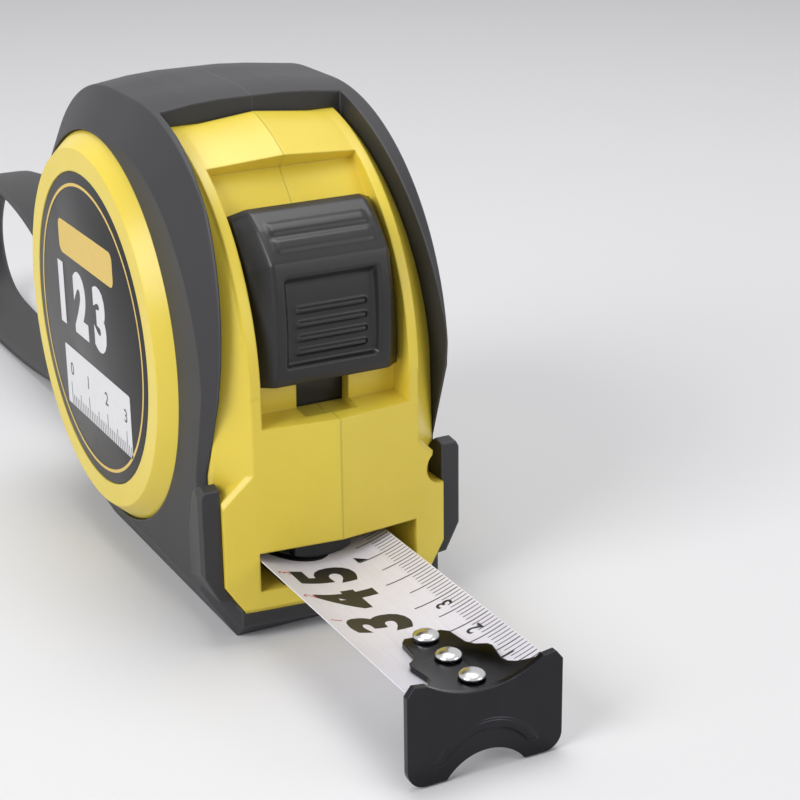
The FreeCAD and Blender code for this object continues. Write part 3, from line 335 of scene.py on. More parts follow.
yellow = moulded(
    "yellow_abs",
    (0.84, 0.66, 0.07),
    (0.74, 0.53, 0.04),
    roughness=0.34, grain=2600, depth=0.00003, corner=0.0005, coat=0.15, glow=0.12,
)
finish_node("right_shell", yellow)
finish_node("left_shell", yellow)

# ---------------------------------------------------------------------------
# Rubber jacket. Two grey-black thermoplastic rubber halves bonded over the case, with a satin skin
# and a painted highlight: a pale band painted along its edges.
# ---------------------------------------------------------------------------


def scuffed_rubber():
    """Rubber with a painted highlight: its edges are painted pale."""
    material = moulded(
        "jacket_rubber",
        (0.026, 0.026, 0.029),
        (0.044, 0.044, 0.048),
        roughness=0.5, grain=5200, depth=0.00005, corner=0.0006,
    )
    made = material.node_tree.nodes
    links = material.node_tree.links
    surface = made["Principled BSDF"]
    surface.inputs["Specular IOR Level"].default_value = 0.45
    round_off = [each for each in made if each.bl_idname == "ShaderNodeBevel"][0]
    # Painted highlight: the base colour is mixed towards pale grey where the bevel normal turns away from
    # the face, along every edge.
    shape = made.new("ShaderNodeNewGeometry")
    apart = node(made, "ShaderNodeVectorMath", operation="DOT_PRODUCT")
    edge = node(made, "ShaderNodeMapRange", {"From Min": 0.985, "From Max": 0.90, "To Max": 0.5})
    painted_edge_highlight = node(made, "ShaderNodeMix", {"B": (0.13, 0.13, 0.135, 1)}, data_type="RGBA")
    before = surface.inputs["Base Color"].links[0].from_socket
    links.new(round_off.outputs["Normal"], apart.inputs[0])
    links.new(shape.outputs["Normal"], apart.inputs[1])
    links.new(apart.outputs["Value"], edge.inputs["Value"])
    links.new(edge.outputs["Result"], painted_edge_highlight.inputs["Factor"])
    links.new(before, painted_edge_highlight.inputs["A"])
    links.new(painted_edge_highlight.outputs["Result"], surface.inputs["Base Color"])
    return material


rubber = scuffed_rubber()
finish_node("right_jacket", rubber)
finish_node("left_jacket", rubber)

# ---------------------------------------------------------------------------
# Side labels. Black printed film let into the middle of each side ring. The label side carries a
# yellow line, a yellow bar, plain figures and a small white scale; the clip side is bare.
# ---------------------------------------------------------------------------
label_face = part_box("left_label")[0][1] + 0.02 * mm
label_middle = 43.5 * mm
ink_lift = 0.02


def ink(name, colour, roughness=0.42):
    """Screen-printed ink with slightly uneven cover."""
    material, made, links, surface = shader(name, colour, roughness)
    place = made.new("ShaderNodeTexCoord")
    cover = node(made, "ShaderNodeTexNoise", {"Scale": 900, "Detail": 4})
    tone = node(
        made, "ShaderNodeMix",
        {"A": (*[part * 0.9 for part in colour], 1), "B": (*colour, 1)},
        data_type="RGBA",
    )
    links.new(place.outputs["Object"], cover.inputs["Vector"])
    links.new(cover.outputs["Fac"], tone.inputs["Factor"])
    links.new(tone.outputs["Result"], surface.inputs["Base Color"])
    return material


def from_label(right, up, lift=0.0):
    """Where flat points go on the label-side film, moved right and up and lifted off it."""
    return lambda x, y: ((x + right) * mm, label_face - lift * mm, label_middle + (y + up) * mm)


def lettered(text, height, bold=0.0, wide=1.0):
    """Flat mesh of plain figures, centred, as points and faces in millimetres."""
    letters = bpy.data.curves.new("figures", "FONT")
    letters.body = text
    letters.size = height / 0.72
    letters.align_x = "CENTER"
    letters.offset = bold * height
    letters.resolution_u = 4
    sample = bpy.data.objects.new("figures", letters)
    bpy.context.scene.collection.objects.link(sample)
    mesh = bpy.data.meshes.new_from_object(sample.evaluated_get(bpy.context.evaluated_depsgraph_get()))
    bpy.data.objects.remove(sample)
    shape = bmesh.new()
    shape.from_mesh(mesh)
    bpy.data.meshes.remove(mesh)
    bmesh.ops.triangulate(shape, faces=shape.faces)
    for _ in range(4):
        long_edges = [edge for edge in shape.edges if edge.calc_length() > 1.1]
        if long_edges:
            bmesh.ops.subdivide_edges(shape, edges=long_edges, cuts=1)
            bmesh.ops.triangulate(shape, faces=shape.faces)
    points = [(vertex.co.x * wide, vertex.co.y - height / 2) for vertex in shape.verts]
    shape.verts.index_update()
    faces = [tuple(vertex.index for vertex in face.verts) for face in shape.faces]
    shape.free()
    return points, faces


def printed(name, points, faces, put, body, material, slot):
    """Ink laid on a surface: each flat point goes where put says."""
    mesh = bpy.data.meshes.new(name)
    mesh.from_pydata([put(*point) for point in points], [], faces)
    return new_piece(name, mesh, body, material)


def ring_points(outer, inner, steps=96):
    """A flat ring as points and faces."""
    points = []
    faces = []
    for step in range(steps):
        turn = 2 * math.pi * step / steps
        points.append((outer * math.cos(turn), outer * math.sin(turn)))
        points.append((inner * math.cos(turn), inner * math.sin(turn)))
    for step in range(steps):
        now = 2 * step
        after = 2 * ((step + 1) % steps)
        faces.append((now, after, after + 1, now + 1))
    return points, faces


def rounded_panel(width, height, corner):
    """A flat rectangle with round corners as one face."""
    points = []
    for side, rise, start in ((1, 1, 0), (-1, 1, 90), (-1, -1, 180), (1, -1, 270)):
        for step in range(7):
            turn = math.radians(start + 15 * step)
            points.append(
                (
                    side * (width / 2 - corner) + corner * math.cos(turn),
                    rise * (height / 2 - corner) + corner * math.sin(turn),
                )
            )
    return points, [tuple(range(len(points)))]


film = moulded(
    "label_film",
    (0.005, 0.005, 0.006),
    (0.010, 0.010, 0.011),
    roughness=0.34, grain=900, depth=0.00001, corner=0.0001, coat=0.05,
)
finish_node("right_label", film)
label_low, label_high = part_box("left_label")
label_radius = (label_high[0] - label_low[0]) / 2
disc_face = label_face + 0.03 * mm
disc_chamfer = 0.15 * mm
disc_steps = 128
disc_rings = [
    (0.0, disc_face),
    (label_radius - disc_chamfer, disc_face),
    (label_radius, label_face + disc_chamfer),
    (label_radius, label_high[1]),
    (0.0, label_high[1]),
]
disc_vertices = []
disc_faces = []
for radius, depth in disc_rings:
    for step in range(disc_steps):
        turn = 2 * math.pi * step / disc_steps
        disc_vertices.append((radius * math.cos(turn), depth, label_middle + radius * math.sin(turn)))
for ring in range(len(disc_rings) - 1):
    for step in range(disc_steps):
        now = disc_steps * ring + step
        after = disc_steps * ring + (step + 1) % disc_steps
        disc_faces.append((now, after, after + disc_steps, now + disc_steps))
disc_mesh = place_mesh("label_disc", disc_vertices, disc_faces)
label_disc = new_piece("label_disc", disc_mesh, "case", film)
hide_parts("left_label")
gold_ink = ink("yellow_ink", (0.80, 0.56, 0.12))
white_ink = ink("white_ink", (0.80, 0.80, 0.82))
black_ink = ink("black_ink", (0.012, 0.012, 0.013))
printed("label_line", *ring_points(26.9, 26.3), from_label(0, 0), "case", gold_ink, "label_film")
printed("label_pill", *rounded_panel(29, 6.6, 1.6), from_label(-0.5, 14.6), "case", gold_ink, "label_film")
figures = lettered("1 2 3", 11.0, 0.085, 0.88)
printed("label_figures", *figures, from_label(-5.0, 3.4), "case", white_ink, "label_film")
panel = rounded_panel(35, 12, 0.5)
printed("label_scale_panel", *panel, from_label(1.5, -13.2), "case", white_ink, "label_film")
scale_start = -15.1
stroke_width = 0.26
stroke_foot = -6
scale_points = []
scale_faces = []
for step in range(33):
    tall = 4.6 if step % 10 == 0 else 3.4 if step % 5 == 0 else 2.2
    left = scale_start + step - stroke_width / 2
    right = left + stroke_width
    top = stroke_foot + tall
    base = len(scale_points)
    scale_points += [(left, stroke_foot), (right, stroke_foot), (right, top), (left, top)]
    scale_faces.append((base, base + 1, base + 2, base + 3))
for count in range(4):
    points, faces = lettered(str(count), 2.6, 0.01)
    base = len(scale_points)
    middle = scale_start + 10 * count + (0.9 if count == 0 else 0)
    scale_points += [(x + middle, y + 1.6) for x, y in points]
    scale_faces += [tuple(index + base for index in face) for face in faces]
scale_place = from_label(1.5, -13.2, ink_lift)
printed("label_scale", scale_points, scale_faces, scale_place, "case", black_ink, "label_film")

# ---------------------------------------------------------------------------
# Thumb lock. A black nylon slider with drafted sides, a hollow thumb rest with four grip ribs and two
# low steps above its peak. Its neck passes through the window's slot to the carrier behind.
# ---------------------------------------------------------------------------
reel_axis = 43.5
slider_inner = 46.6
slider_rise = 9.0
slider_low, slider_high, slider_half = 2.1, 36.5, 13.2
slider_profile = [
    (2.1, 0.42),
    (3.7, 0.50),
    (6.5, 0.56),
    (23.5, 0.98),
    (24.5, 1.0),
    (31.0, 0.78),
    (35.0, 0.59),
    (36.5, 0.43),
]


def between(knots, at):
    """A value read off straight runs between knots."""
    for (low, first), (high, last) in zip(knots, knots[1:]):
        if at <= high:
            return first + (last - first) * max(0.0, (at - low) / (high - low))
    return knots[-1][1]


def soft_step(value, width):
    """Rises from 0 to 1 as value passes zero, over a width."""
    share = min(1.0, max(0.0, value / width + 0.5))
    return share * share * (3 - 2 * share)


def slider_radius(angle, across):
    """Outside of the slider, as a distance from the reel axis."""
    side = abs(across)
    lift = between([(0, 1.0), (10.5, 1.0), (13.2, 0.45)], side)
    frame_face = slider_inner + slider_rise * between(slider_profile, angle) * lift
    floor = between([(2, 49.9), (5.5, 50.2), (21.0, 53.2), (26, 53.6)], angle)
    inside = soft_step(8.3 - side, 0.7) * soft_step(angle - 5.9, 0.8) * soft_step(21.6 - angle, 0.9)
    face = frame_face + (min(floor, frame_face) - frame_face) * inside
    grip = soft_step(6.4 - side, 0.5)
    for rib in (8.3, 10.9, 13.5, 16.1):
        face += 0.75 * grip * max(0.0, 1 - (abs(angle - rib) / 0.62) ** 2)
    for step in (27.8, 31.2):
        face += 0.35 * soft_step(8.8 - side, 0.8) * soft_step(1.1 - abs(angle - step), 0.5)
    return face


def slider_point(radius, angle, across):
    turn = math.radians(angle)
    return (radius * math.cos(turn) * mm, across * mm, (reel_axis + radius * math.sin(turn)) * mm)


def slider_mesh():
    """The slider's outside as a fine grid over angle and width, closed by its sides and underside."""
    rows = 160
    columns = 120
    low, high, half = slider_low, slider_high, slider_half
    vertices = []
    faces = []
    for row in range(rows + 1):
        angle = low + (high - low) * row / rows
        for column in range(columns + 1):
            across = -half + 2 * half * column / columns
            nearby = [
                slider_radius(angle + turn, min(half, max(-half, across + slide)))
                for turn, slide in ((0, 0), (0.3, 0), (-0.3, 0), (0, 0.28), (0, -0.28))
            ]
            vertices.append(slider_point(sum(nearby) / 5, angle, across))
    width = columns + 1
    for row in range(rows):
        for column in range(columns):
            at = row * width + column
            faces.append((at, at + 1, at + width + 1, at + width))
    base = len(vertices)
    for row in range(rows + 1):
        angle = low + (high - low) * row / rows
        vertices.append(slider_point(slider_inner, angle, -half))
        vertices.append(slider_point(slider_inner, angle, half))
    for row in range(rows):
        under = base + 2 * row
        near = row * width
        far = near + columns
        faces.append((under, under + 2, under + 3, under + 1))
        faces.append((near, near + width, under + 2, under))
        faces.append((far, under + 1, under + 3, far + width))
    for row, under in ((0, base), (rows, base + 2 * rows)):
        faces.append(tuple(row * width + column for column in range(width)) + (under + 1, under))
    return vertices, faces


def arc_block(inner, outer, low, high, half, steps=16):
    """A curved block about the reel axis as points and faces."""
    vertices = []
    faces = []
    for step in range(steps + 1):
        angle = low + (high - low) * step / steps
        for radius, across in ((inner, -half), (outer, -half), (outer, half), (inner, half)):
            vertices.append(slider_point(radius, angle, across))
    for step in range(steps):
        at = 4 * step
        for corner in range(4):
            other = (corner + 1) % 4
            faces.append((at + corner, at + other, at + other + 4, at + corner + 4))
    faces.append((0, 1, 2, 3))
    faces.append(tuple(4 * steps + corner for corner in range(4)))
    return vertices, faces


vertices, faces = slider_mesh()
neck_vertices, neck_faces = arc_block(43.4, 46.7, 9.1, 22.5, 4.3)
faces += [tuple(index + len(vertices) for index in face) for face in neck_faces]
vertices += neck_vertices
nylon = moulded(
    "black_nylon",
    (0.006, 0.006, 0.007),
    (0.016, 0.016, 0.017),
    roughness=0.34, grain=3400, depth=0.00005, corner=0.0003, coat=0.05,
)
slider_shape = place_mesh("thumb_slider", vertices, faces)
thumb_slider = new_piece("thumb_slider", slider_shape, "lock", nylon)
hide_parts("lock_slider")
dark_plastic = moulded(
    "dark_acetal",
    (0.020, 0.020, 0.021),
    (0.034, 0.034, 0.036),
    roughness=0.45, grain=2600, depth=0.00003, corner=0.0002,
)
finish_node("lock_carrier", dark_plastic)

# ---------------------------------------------------------------------------
# Brake shoe and mouth pad. A soft black rubber foot that the lock presses on the blade, and the hard
# black plate that the blade runs over.
# ---------------------------------------------------------------------------
soft_rubber = moulded(
    "shoe_rubber",
    (0.016, 0.016, 0.017),
    (0.030, 0.030, 0.031),
    roughness=0.6, grain=4200, depth=0.00008, corner=0.0004,
)
finish_node("brake_shoe", soft_rubber)
finish_node("blade_pad", dark_plastic)

# ---------------------------------------------------------------------------
# Blade. Spring steel 25 mm wide, curled so that it stands out by itself, with white enamel under a
# clear nylon skin. The wound part and the run up to it carry the same coat.
# ---------------------------------------------------------------------------
blade_side = -2.5
blade_height = 12.7
cup_radius = (12.2**2 + 2.5**2) / (2 * 2.5)
blade_zero = 106.0
blade_top = blade_height + 0.1
print_lift = 0.025
figure_side = 1.8
small_side = 2.2


def enamel():
    """White lacquer with a faint lengthwise draw, small scuffs and a clear skin."""
    material, made, links, surface = shader("white_enamel", (0.79, 0.78, 0.81), 0.38)
    surface.inputs["Coat Weight"].default_value = 0.35
    surface.inputs["Coat Roughness"].default_value = 0.2
    place = made.new("ShaderNodeTexCoord")
    stretch = node(made, "ShaderNodeMapping", {"Scale": (120, 2400, 2400)})
    drawn_marks = node(made, "ShaderNodeTexNoise", {"Scale": 1.0, "Detail": 4})
    tone = node(
        made, "ShaderNodeMix",
        {"A": (0.66, 0.64, 0.70, 1), "B": (0.79, 0.77, 0.83, 1)},
        data_type="RGBA",
    )
    gloss = node(made, "ShaderNodeMapRange", {"To Min": 0.28, "To Max": 0.48})
    press = node(made, "ShaderNodeBump", {"Strength": 0.15, "Distance": 0.00002})
    links.new(place.outputs["Object"], stretch.inputs["Vector"])
    links.new(stretch.outputs["Vector"], drawn_marks.inputs["Vector"])
    links.new(drawn_marks.outputs["Fac"], tone.inputs["Factor"])
    links.new(tone.outputs["Result"], surface.inputs["Base Color"])
    links.new(drawn_marks.outputs["Fac"], gloss.inputs["Value"])
    links.new(gloss.outputs["Result"], surface.inputs["Roughness"])
    links.new(drawn_marks.outputs["Fac"], press.inputs["Height"])
    links.new(press.outputs["Normal"], surface.inputs["Normal"])
    return material


white_enamel = enamel()
finish_node("blade", white_enamel)
finish_node("blade_feed", white_enamel)


def wound_enamel():
    """The wound blade's ends: fine bright rings where each turn's edge shows."""
    material, made, links, surface = shader("wound_enamel", (0.70, 0.69, 0.72), 0.4)
    place = made.new("ShaderNodeTexCoord")
    centre = node(made, "ShaderNodeMapping", {"Location": (0, 0, -0.0435)})
    flat = node(made, "ShaderNodeVectorMath", {1: (1, 0, 1)}, operation="MULTIPLY")
    reach = node(made, "ShaderNodeVectorMath", operation="LENGTH")
    turns = node(made, "ShaderNodeMath", {1: 2 * math.pi / 0.00028}, operation="MULTIPLY")
    wave = node(made, "ShaderNodeMath", operation="SINE")
    shade = node(made, "ShaderNodeMapRange", {"From Min": -1})
    tone = node(
        made, "ShaderNodeMix",
        {"A": (0.25, 0.25, 0.27, 1), "B": (0.75, 0.74, 0.77, 1)},
        data_type="RGBA",
    )
    press = node(made, "ShaderNodeBump", {"Distance": 0.0001})
    links.new(place.outputs["Object"], centre.inputs["Vector"])
    links.new(centre.outputs["Vector"], flat.inputs[0])
    links.new(flat.outputs["Vector"], reach.inputs[0])
    links.new(reach.outputs["Value"], turns.inputs[0])
    links.new(turns.outputs["Value"], wave.inputs[0])
    links.new(wave.outputs["Value"], shade.inputs["Value"])
    links.new(shade.outputs["Result"], tone.inputs["Factor"])
    links.new(tone.outputs["Result"], surface.inputs["Base Color"])
    links.new(wave.outputs["Value"], press.inputs["Height"])
    links.new(press.outputs["Normal"], surface.inputs["Normal"])
    return material


finish_node("blade_coil", wound_enamel())

# ---------------------------------------------------------------------------
# Blade print. Millimetre, five-millimetre and centimetre strokes from the clip-side edge, printed
# before the clear skin, so that they follow the blade's curl.
# ---------------------------------------------------------------------------


def tree_with(name, numbers):
    """An empty geometry tree with named number inputs and a material input."""
    tree = bpy.data.node_groups.new(name, "GeometryNodeTree")
    tree.interface.new_socket("Geometry", in_out="OUTPUT", socket_type="NodeSocketGeometry")
    for number, kind in numbers:
        tree.interface.new_socket(number, in_out="INPUT", socket_type=kind)
    tree.interface.new_socket("Finish", in_out="INPUT", socket_type="NodeSocketMaterial")
    return tree, tree.nodes.new("NodeGroupInput"), tree.nodes.new("NodeGroupOutput")


def grown(name, tree, values, body, material):
    """Runs a geometry tree with these values and keeps its result as a plain mesh."""
    seed = bpy.data.objects.new(name + "_seed", bpy.data.meshes.new(name + "_seed"))
    bpy.context.scene.collection.objects.link(seed)
    run = seed.modifiers.new("build", "NODES")
    run.node_group = tree
    for item in tree.interface.items_tree:
        if item.in_out == "INPUT":
            run[item.identifier] = material if item.name == "Finish" else values[item.name]
    mesh = bpy.data.meshes.new_from_object(seed.evaluated_get(bpy.context.evaluated_depsgraph_get()))
    seed.modifiers.remove(run)
    bpy.data.objects.remove(seed)
    return new_piece(name, mesh, body, material)


def maths(tree, operation, first, second=None):
    """A maths node; each operand is a socket or a number."""
    operator = node(tree.nodes, "ShaderNodeMath", operation=operation)
    for place, operand in enumerate((first, second)):
        if operand is None:
            continue
        if isinstance(operand, (int, float)):
            operator.inputs[place].default_value = operand
        else:
            tree.links.new(operand, operator.inputs[place])
    return operator.outputs[0]


def stroke_tree():
    """Strokes side by side along X, then dropped on to the blade's curl."""
    tree, given, result = tree_with(
        "blade_strokes",
        [
            ("Count", "NodeSocketInt"),
            ("First", "NodeSocketFloat"),
            ("Spacing", "NodeSocketFloat"),
            ("Edge", "NodeSocketFloat"),
            ("Length", "NodeSocketFloat"),
            ("Width", "NodeSocketFloat"),
            ("Middle", "NodeSocketFloat"),
            ("Height", "NodeSocketFloat"),
            ("Curl radius", "NodeSocketFloat"),
        ],
    )
    links = tree.links
    row = tree.nodes.new("GeometryNodeMeshLine")
    start = tree.nodes.new("ShaderNodeCombineXYZ")
    gap = tree.nodes.new("ShaderNodeCombineXYZ")
    links.new(given.outputs["First"], start.inputs["X"])
    half_length = maths(tree, "MULTIPLY", given.outputs["Length"], 0.5)
    links.new(maths(tree, "SUBTRACT", given.outputs["Edge"], half_length), start.inputs["Y"])
    links.new(maths(tree, "MULTIPLY", given.outputs["Spacing"], -1.0), gap.inputs["X"])
    links.new(given.outputs["Count"], row.inputs["Count"])
    links.new(start.outputs["Vector"], row.inputs["Start Location"])
    links.new(gap.outputs["Vector"], row.inputs["Offset"])
    stroke = node(tree.nodes, "GeometryNodeMeshGrid", {"Vertices X": 2, "Vertices Y": 9})
    links.new(given.outputs["Width"], stroke.inputs["Size X"])
    links.new(given.outputs["Length"], stroke.inputs["Size Y"])
    copies = tree.nodes.new("GeometryNodeInstanceOnPoints")
    links.new(row.outputs["Mesh"], copies.inputs["Points"])
    links.new(stroke.outputs["Mesh"], copies.inputs["Instance"])
    real = tree.nodes.new("GeometryNodeRealizeInstances")
    links.new(copies.outputs["Instances"], real.inputs["Geometry"])
    where = tree.nodes.new("GeometryNodeInputPosition")
    parts = tree.nodes.new("ShaderNodeSeparateXYZ")
    links.new(where.outputs["Position"], parts.inputs["Vector"])
    aside = maths(tree, "SUBTRACT", parts.outputs["Y"], given.outputs["Middle"])
    curl = given.outputs["Curl radius"]
    curl_square = maths(tree, "MULTIPLY", curl, curl)
    aside_square = maths(tree, "MULTIPLY", aside, aside)
    drop = maths(tree, "SQRT", maths(tree, "SUBTRACT", curl_square, aside_square))
    height = maths(tree, "ADD", given.outputs["Height"], maths(tree, "SUBTRACT", curl, drop))
    landed = tree.nodes.new("ShaderNodeCombineXYZ")
    links.new(parts.outputs["X"], landed.inputs["X"])
    links.new(parts.outputs["Y"], landed.inputs["Y"])
    links.new(height, landed.inputs["Z"])
    settle = tree.nodes.new("GeometryNodeSetPosition")
    links.new(real.outputs["Geometry"], settle.inputs["Geometry"])
    links.new(landed.outputs["Vector"], settle.inputs["Position"])
    finish = tree.nodes.new("GeometryNodeSetMaterial")
    links.new(settle.outputs["Geometry"], finish.inputs["Geometry"])
    links.new(given.outputs["Finish"], finish.inputs["Material"])
    links.new(finish.outputs["Geometry"], result.inputs["Geometry"])
    return tree


strokes = stroke_tree()
print_height = (blade_top + print_lift) * mm
for name, count, spacing, length, width in (
    ("millimetre_strokes", 74, 1.0, 3.5, 0.20),
    ("half_centimetre_strokes", 14, 5.0, 6.2, 0.24),
    ("centimetre_strokes", 7, 10.0, 8.0, 0.26),
):
    grown(
        name,
        strokes,
        {
            "Count": count,
            "First": (blade_zero - (2.0 if spacing == 1.0 else spacing)) * mm,
            "Spacing": spacing * mm,
            "Edge": (blade_side + 12.0) * mm,
            "Length": length * mm,
            "Width": width * mm,
            "Middle": blade_side * mm,
            "Height": print_height,
            "Curl radius": cup_radius * mm,
        },
        "blade_body",
        black_ink,
    )

# ---------------------------------------------------------------------------
# Blade figures. Heavy centimetre figures down the middle and small ones by the edge near the hook,
# which read with the hook on the left.
# ---------------------------------------------------------------------------


def on_blade(x, y):
    """A point on top of the blade's curl."""
    aside = y - blade_side
    rise = cup_radius - math.sqrt(cup_radius**2 - aside**2)
    return (x * mm, y * mm, (blade_top + print_lift + rise) * mm)


figure_points = []
figure_faces = []
for text, x, y, height, bold, wide in (
    [(str(count), blade_zero - 10 * count + figure_side, -6.4, 10.0, 0.06, 0.98) for count in range(3, 8)]
    + [(str(count), blade_zero - 10 * count + small_side, 5.6, 2.7, 0.02, 1.0) for count in range(1, 4)]
):
    points, faces = lettered(text, height, bold, wide)
    base = len(figure_points)
    figure_points += [(x - a, y - b) for a, b in points]
    figure_faces += [tuple(index + base for index in face) for face in faces]
arrow_x = blade_zero - 50
base = len(figure_points)
figure_points += [(arrow_x - 0.2, 1.4), (arrow_x - 0.2, 3.2), (arrow_x - 2.4, 1.4)]
figure_faces.append((base, base + 2, base + 1))
printed("blade_figures", figure_points, figure_faces, on_blade, "blade_body", black_ink, "white_blade")
red_ink = ink("red_ink", (0.55, 0.03, 0.05))
red_points = []
red_faces = []
for text, x in (("2", 66.0), ("1", 76.0), ("3", 56.0), ("4", 46.0)):
    points, faces = lettered(text, 2.2, 0.0)
    base = len(red_points)
    red_points += [(x - a, -12.7 - b) for a, b in points]
    red_faces += [tuple(index + base for index in face) for face in faces]
printed("blade_red_figures", red_points, red_faces, on_blade, "blade_body", red_ink, "white_blade")

# ---------------------------------------------------------------------------
# End hook. Pressed steel plated black, with a winged plate and a waisted tab on slotted holes, so that
# it slides by about its own thickness. A raised bar stiffens the plate.
# ---------------------------------------------------------------------------


def plated(name, colour, roughness, smear):
    """Plated or plain metal with finger smears and fine hairlines."""
    material, made, links, surface = shader(name, colour, roughness, 1.0)
    place = made.new("ShaderNodeTexCoord")
    clouds = node(made, "ShaderNodeTexNoise", {"Scale": 160, "Detail": 5})
    gloss = node(
        made, "ShaderNodeMapRange",
        {"From Min": 0.3, "From Max": 0.75, "To Min": roughness, "To Max": roughness + smear},
    )
    tone = node(
        made, "ShaderNodeMix",
        {"A": (*colour, 1), "B": (*[part * 0.7 for part in colour], 1)},
        data_type="RGBA",
    )
    lines = node(made, "ShaderNodeMapping", {"Scale": (900, 9000, 900)})
    hair = node(made, "ShaderNodeTexNoise", {"Scale": 1.0})
    round_off = node(made, "ShaderNodeBevel", {"Radius": 0.0003}, samples=6)
    press = node(made, "ShaderNodeBump", {"Strength": 0.12, "Distance": 0.00002})
    links.new(place.outputs["Object"], clouds.inputs["Vector"])
    links.new(place.outputs["Object"], lines.inputs["Vector"])
    links.new(lines.outputs["Vector"], hair.inputs["Vector"])
    links.new(clouds.outputs["Fac"], gloss.inputs["Value"])
    links.new(gloss.outputs["Result"], surface.inputs["Roughness"])
    links.new(clouds.outputs["Fac"], tone.inputs["Factor"])
    links.new(tone.outputs["Result"], surface.inputs["Base Color"])
    links.new(hair.outputs["Fac"], press.inputs["Height"])
    links.new(round_off.outputs["Normal"], press.inputs["Normal"])
    links.new(press.outputs["Normal"], surface.inputs["Normal"])
    return material


def pressed_bar(material):
    """Adds a raised arched bar to the plate's face, as relief."""
    bar_centre = (0.0, -0.0025, -0.0015)
    bar_reach = 0.0094
    plate_front = 0.1060
    made = material.node_tree.nodes
    links = material.node_tree.links
    place = made.new("ShaderNodeTexCoord")
    shift = node(made, "ShaderNodeVectorMath", {1: bar_centre}, operation="SUBTRACT")
    face = node(made, "ShaderNodeVectorMath", {1: (0.0, 1.0, 1.0)}, operation="MULTIPLY")
    reach = node(made, "ShaderNodeVectorMath", operation="LENGTH")
    links.new(place.outputs["Object"], shift.inputs[0])
    links.new(shift.outputs["Vector"], face.inputs[0])
    links.new(face.outputs["Vector"], reach.inputs[0])
    tree = material.node_tree
    off_line = maths(tree, "ABSOLUTE", maths(tree, "SUBTRACT", reach.outputs["Value"], bar_reach))
    bar = node(
        made, "ShaderNodeMapRange",
        {"From Min": 0.0011, "From Max": 0.0004},
        interpolation_type="SMOOTHSTEP",
    )
    links.new(off_line, bar.inputs["Value"])
    parts = made.new("ShaderNodeSeparateXYZ")
    links.new(shift.outputs["Vector"], parts.inputs["Vector"])
    ends = node(
        made, "ShaderNodeMapRange",
        {"From Min": 0.0042, "From Max": 0.0054},
        interpolation_type="SMOOTHSTEP",
    )
    links.new(parts.outputs["Z"], ends.inputs["Value"])
    side = made.new("ShaderNodeSeparateXYZ")
    links.new(place.outputs["Object"], side.inputs["Vector"])
    front = maths(tree, "GREATER_THAN", side.outputs["X"], plate_front)
    outline = maths(tree, "MULTIPLY", bar.outputs["Result"], ends.outputs["Result"])
    relief = maths(tree, "MULTIPLY", outline, front)
    raised = node(made, "ShaderNodeBump", {"Strength": 1.0, "Distance": 0.0005})
    links.new(relief, raised.inputs["Height"])
    surface = made["Principled BSDF"]
    before = surface.inputs["Normal"].links[0].from_socket
    links.new(before, raised.inputs["Normal"])
    links.new(raised.outputs["Normal"], surface.inputs["Normal"])


black_chrome = plated("black_chrome", (0.040, 0.040, 0.044), 0.12, 0.18)
pressed_bar(black_chrome)
finish_node("hook", black_chrome)

# ---------------------------------------------------------------------------
# Rivets. Three bright domed rivets and the thin plate under the blade that they close on.
# ---------------------------------------------------------------------------
rivet_chrome = plated("rivet_chrome", (0.72, 0.72, 0.73), 0.14, 0.18)


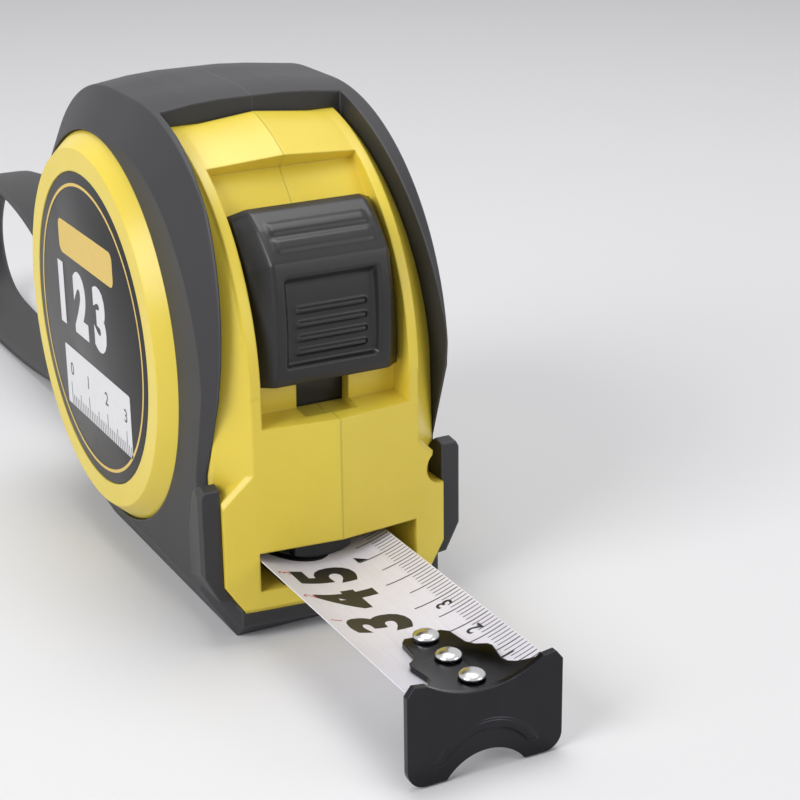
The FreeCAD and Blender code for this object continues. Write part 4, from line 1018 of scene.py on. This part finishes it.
def rivet_tree():
    """Domed heads on plain shanks, in a row along X."""
    tree, given, result = tree_with(
        "rivet_row",
        [
            ("Count", "NodeSocketInt"),
            ("First", "NodeSocketVector"),
            ("Spacing", "NodeSocketVector"),
            ("Head radius", "NodeSocketFloat"),
            ("Rim", "NodeSocketFloat"),
            ("Dome", "NodeSocketFloat"),
            ("Shank radius", "NodeSocketFloat"),
            ("Shank", "NodeSocketFloat"),
        ],
    )
    links = tree.links
    head = node(tree.nodes, "GeometryNodeMeshCylinder", {"Vertices": 48, "Fill Segments": 12})
    links.new(given.outputs["Head radius"], head.inputs["Radius"])
    links.new(given.outputs["Rim"], head.inputs["Depth"])
    where = tree.nodes.new("GeometryNodeInputPosition")
    parts = tree.nodes.new("ShaderNodeSeparateXYZ")
    links.new(where.outputs["Position"], parts.inputs["Vector"])
    across = maths(tree, "MULTIPLY", parts.outputs["X"], parts.outputs["X"])
    along = maths(tree, "MULTIPLY", parts.outputs["Y"], parts.outputs["Y"])
    size = maths(tree, "MULTIPLY", given.outputs["Head radius"], given.outputs["Head radius"])
    share = maths(tree, "DIVIDE", maths(tree, "ADD", across, along), size)
    rise = maths(tree, "POWER", maths(tree, "MAXIMUM", maths(tree, "SUBTRACT", 1.0, share), 0.0), 0.6)
    above = maths(tree, "GREATER_THAN", parts.outputs["Z"], 0.0)
    lift = tree.nodes.new("ShaderNodeCombineXYZ")
    swell = maths(tree, "MULTIPLY", rise, given.outputs["Dome"])
    links.new(maths(tree, "MULTIPLY", swell, above), lift.inputs["Z"])
    domed = tree.nodes.new("GeometryNodeSetPosition")
    links.new(head.outputs["Mesh"], domed.inputs["Geometry"])
    links.new(lift.outputs["Vector"], domed.inputs["Offset"])
    shank = node(tree.nodes, "GeometryNodeMeshCylinder", {"Vertices": 32})
    links.new(given.outputs["Shank radius"], shank.inputs["Radius"])
    links.new(given.outputs["Shank"], shank.inputs["Depth"])
    sunk = tree.nodes.new("ShaderNodeCombineXYZ")
    links.new(maths(tree, "MULTIPLY", given.outputs["Shank"], -0.5), sunk.inputs["Z"])
    lowered = tree.nodes.new("GeometryNodeTransform")
    links.new(shank.outputs["Mesh"], lowered.inputs["Geometry"])
    links.new(sunk.outputs["Vector"], lowered.inputs["Translation"])
    both = tree.nodes.new("GeometryNodeJoinGeometry")
    links.new(domed.outputs["Geometry"], both.inputs["Geometry"])
    links.new(lowered.outputs["Geometry"], both.inputs["Geometry"])
    row = tree.nodes.new("GeometryNodeMeshLine")
    links.new(given.outputs["Count"], row.inputs["Count"])
    links.new(given.outputs["First"], row.inputs["Start Location"])
    links.new(given.outputs["Spacing"], row.inputs["Offset"])
    copies = tree.nodes.new("GeometryNodeInstanceOnPoints")
    links.new(row.outputs["Mesh"], copies.inputs["Points"])
    links.new(both.outputs["Geometry"], copies.inputs["Instance"])
    real = tree.nodes.new("GeometryNodeRealizeInstances")
    links.new(copies.outputs["Instances"], real.inputs["Geometry"])
    finish = tree.nodes.new("GeometryNodeSetMaterial")
    links.new(real.outputs["Geometry"], finish.inputs["Geometry"])
    links.new(given.outputs["Finish"], finish.inputs["Material"])
    links.new(finish.outputs["Geometry"], result.inputs["Geometry"])
    return tree


rivet_low, rivet_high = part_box("hook_rivets")
head_radius = (rivet_high[1] - rivet_low[1]) / 2
head_rim = 0.22 * mm
head_dome = 0.78 * mm
head_middle = rivet_high[2] - head_dome - head_rim / 2
rivets = grown(
    "domed_rivets",
    rivet_tree(),
    {
        "Count": 3,
        "First": (rivet_high[0] - head_radius, (rivet_high[1] + rivet_low[1]) / 2, head_middle),
        "Spacing": (-(rivet_high[0] - rivet_low[0] - 2 * head_radius) / 2, 0, 0),
        "Head radius": head_radius,
        "Rim": head_rim,
        "Dome": head_dome,
        "Shank radius": 1.05 * mm,
        "Shank": head_middle - rivet_low[2],
    },
    "blade_body",
    rivet_chrome,
)
for polygon in rivets.data.polygons:
    polygon.use_smooth = True
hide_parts("hook_rivets")
bright_steel = plated("bright_steel", (0.52, 0.52, 0.53), 0.26, 0.22)
finish_node("rivet_plate", bright_steel)

# ---------------------------------------------------------------------------
# Strap clasp. A black plastic box clamped on the strap's two ends, which swings on a plated pin
# across the recess in the rear of the case.
# ---------------------------------------------------------------------------
finish_node("strap_clasp", dark_plastic)
finish_node("strap_pin", bright_steel)

# ---------------------------------------------------------------------------
# Belt clip. A spring steel strip plated black, folded over at the top and held by one screw.
# ---------------------------------------------------------------------------
finish_node("belt_clip", plated("clip_plate", (0.045, 0.045, 0.048), 0.24, 0.2))
finish_node("clip_screw", bright_steel)

# ---------------------------------------------------------------------------
# Screws and centre post. Zinc-plated screws close the halves and pull them on to the steel post that
# the reel turns on and the power spring hooks to.
# ---------------------------------------------------------------------------
finish_node("case_screws", bright_steel)
finish_node("post_screws", bright_steel)
finish_node("centre_post", plated("turned_steel", (0.44, 0.44, 0.45), 0.3, 0.15))

# ---------------------------------------------------------------------------
# Reel. A pale moulded drum with its cover, and the blued power spring wound inside it.
# ---------------------------------------------------------------------------
drum_plastic = moulded(
    "drum_plastic",
    (0.20, 0.21, 0.22),
    (0.27, 0.28, 0.29),
    roughness=0.5, grain=2200, depth=0.00003, corner=0.0003,
)
finish_node("reel_drum", drum_plastic)
finish_node("reel_cover", drum_plastic)
finish_node("power_spring", plated("blued_steel", (0.10, 0.12, 0.18), 0.3, 0.2))
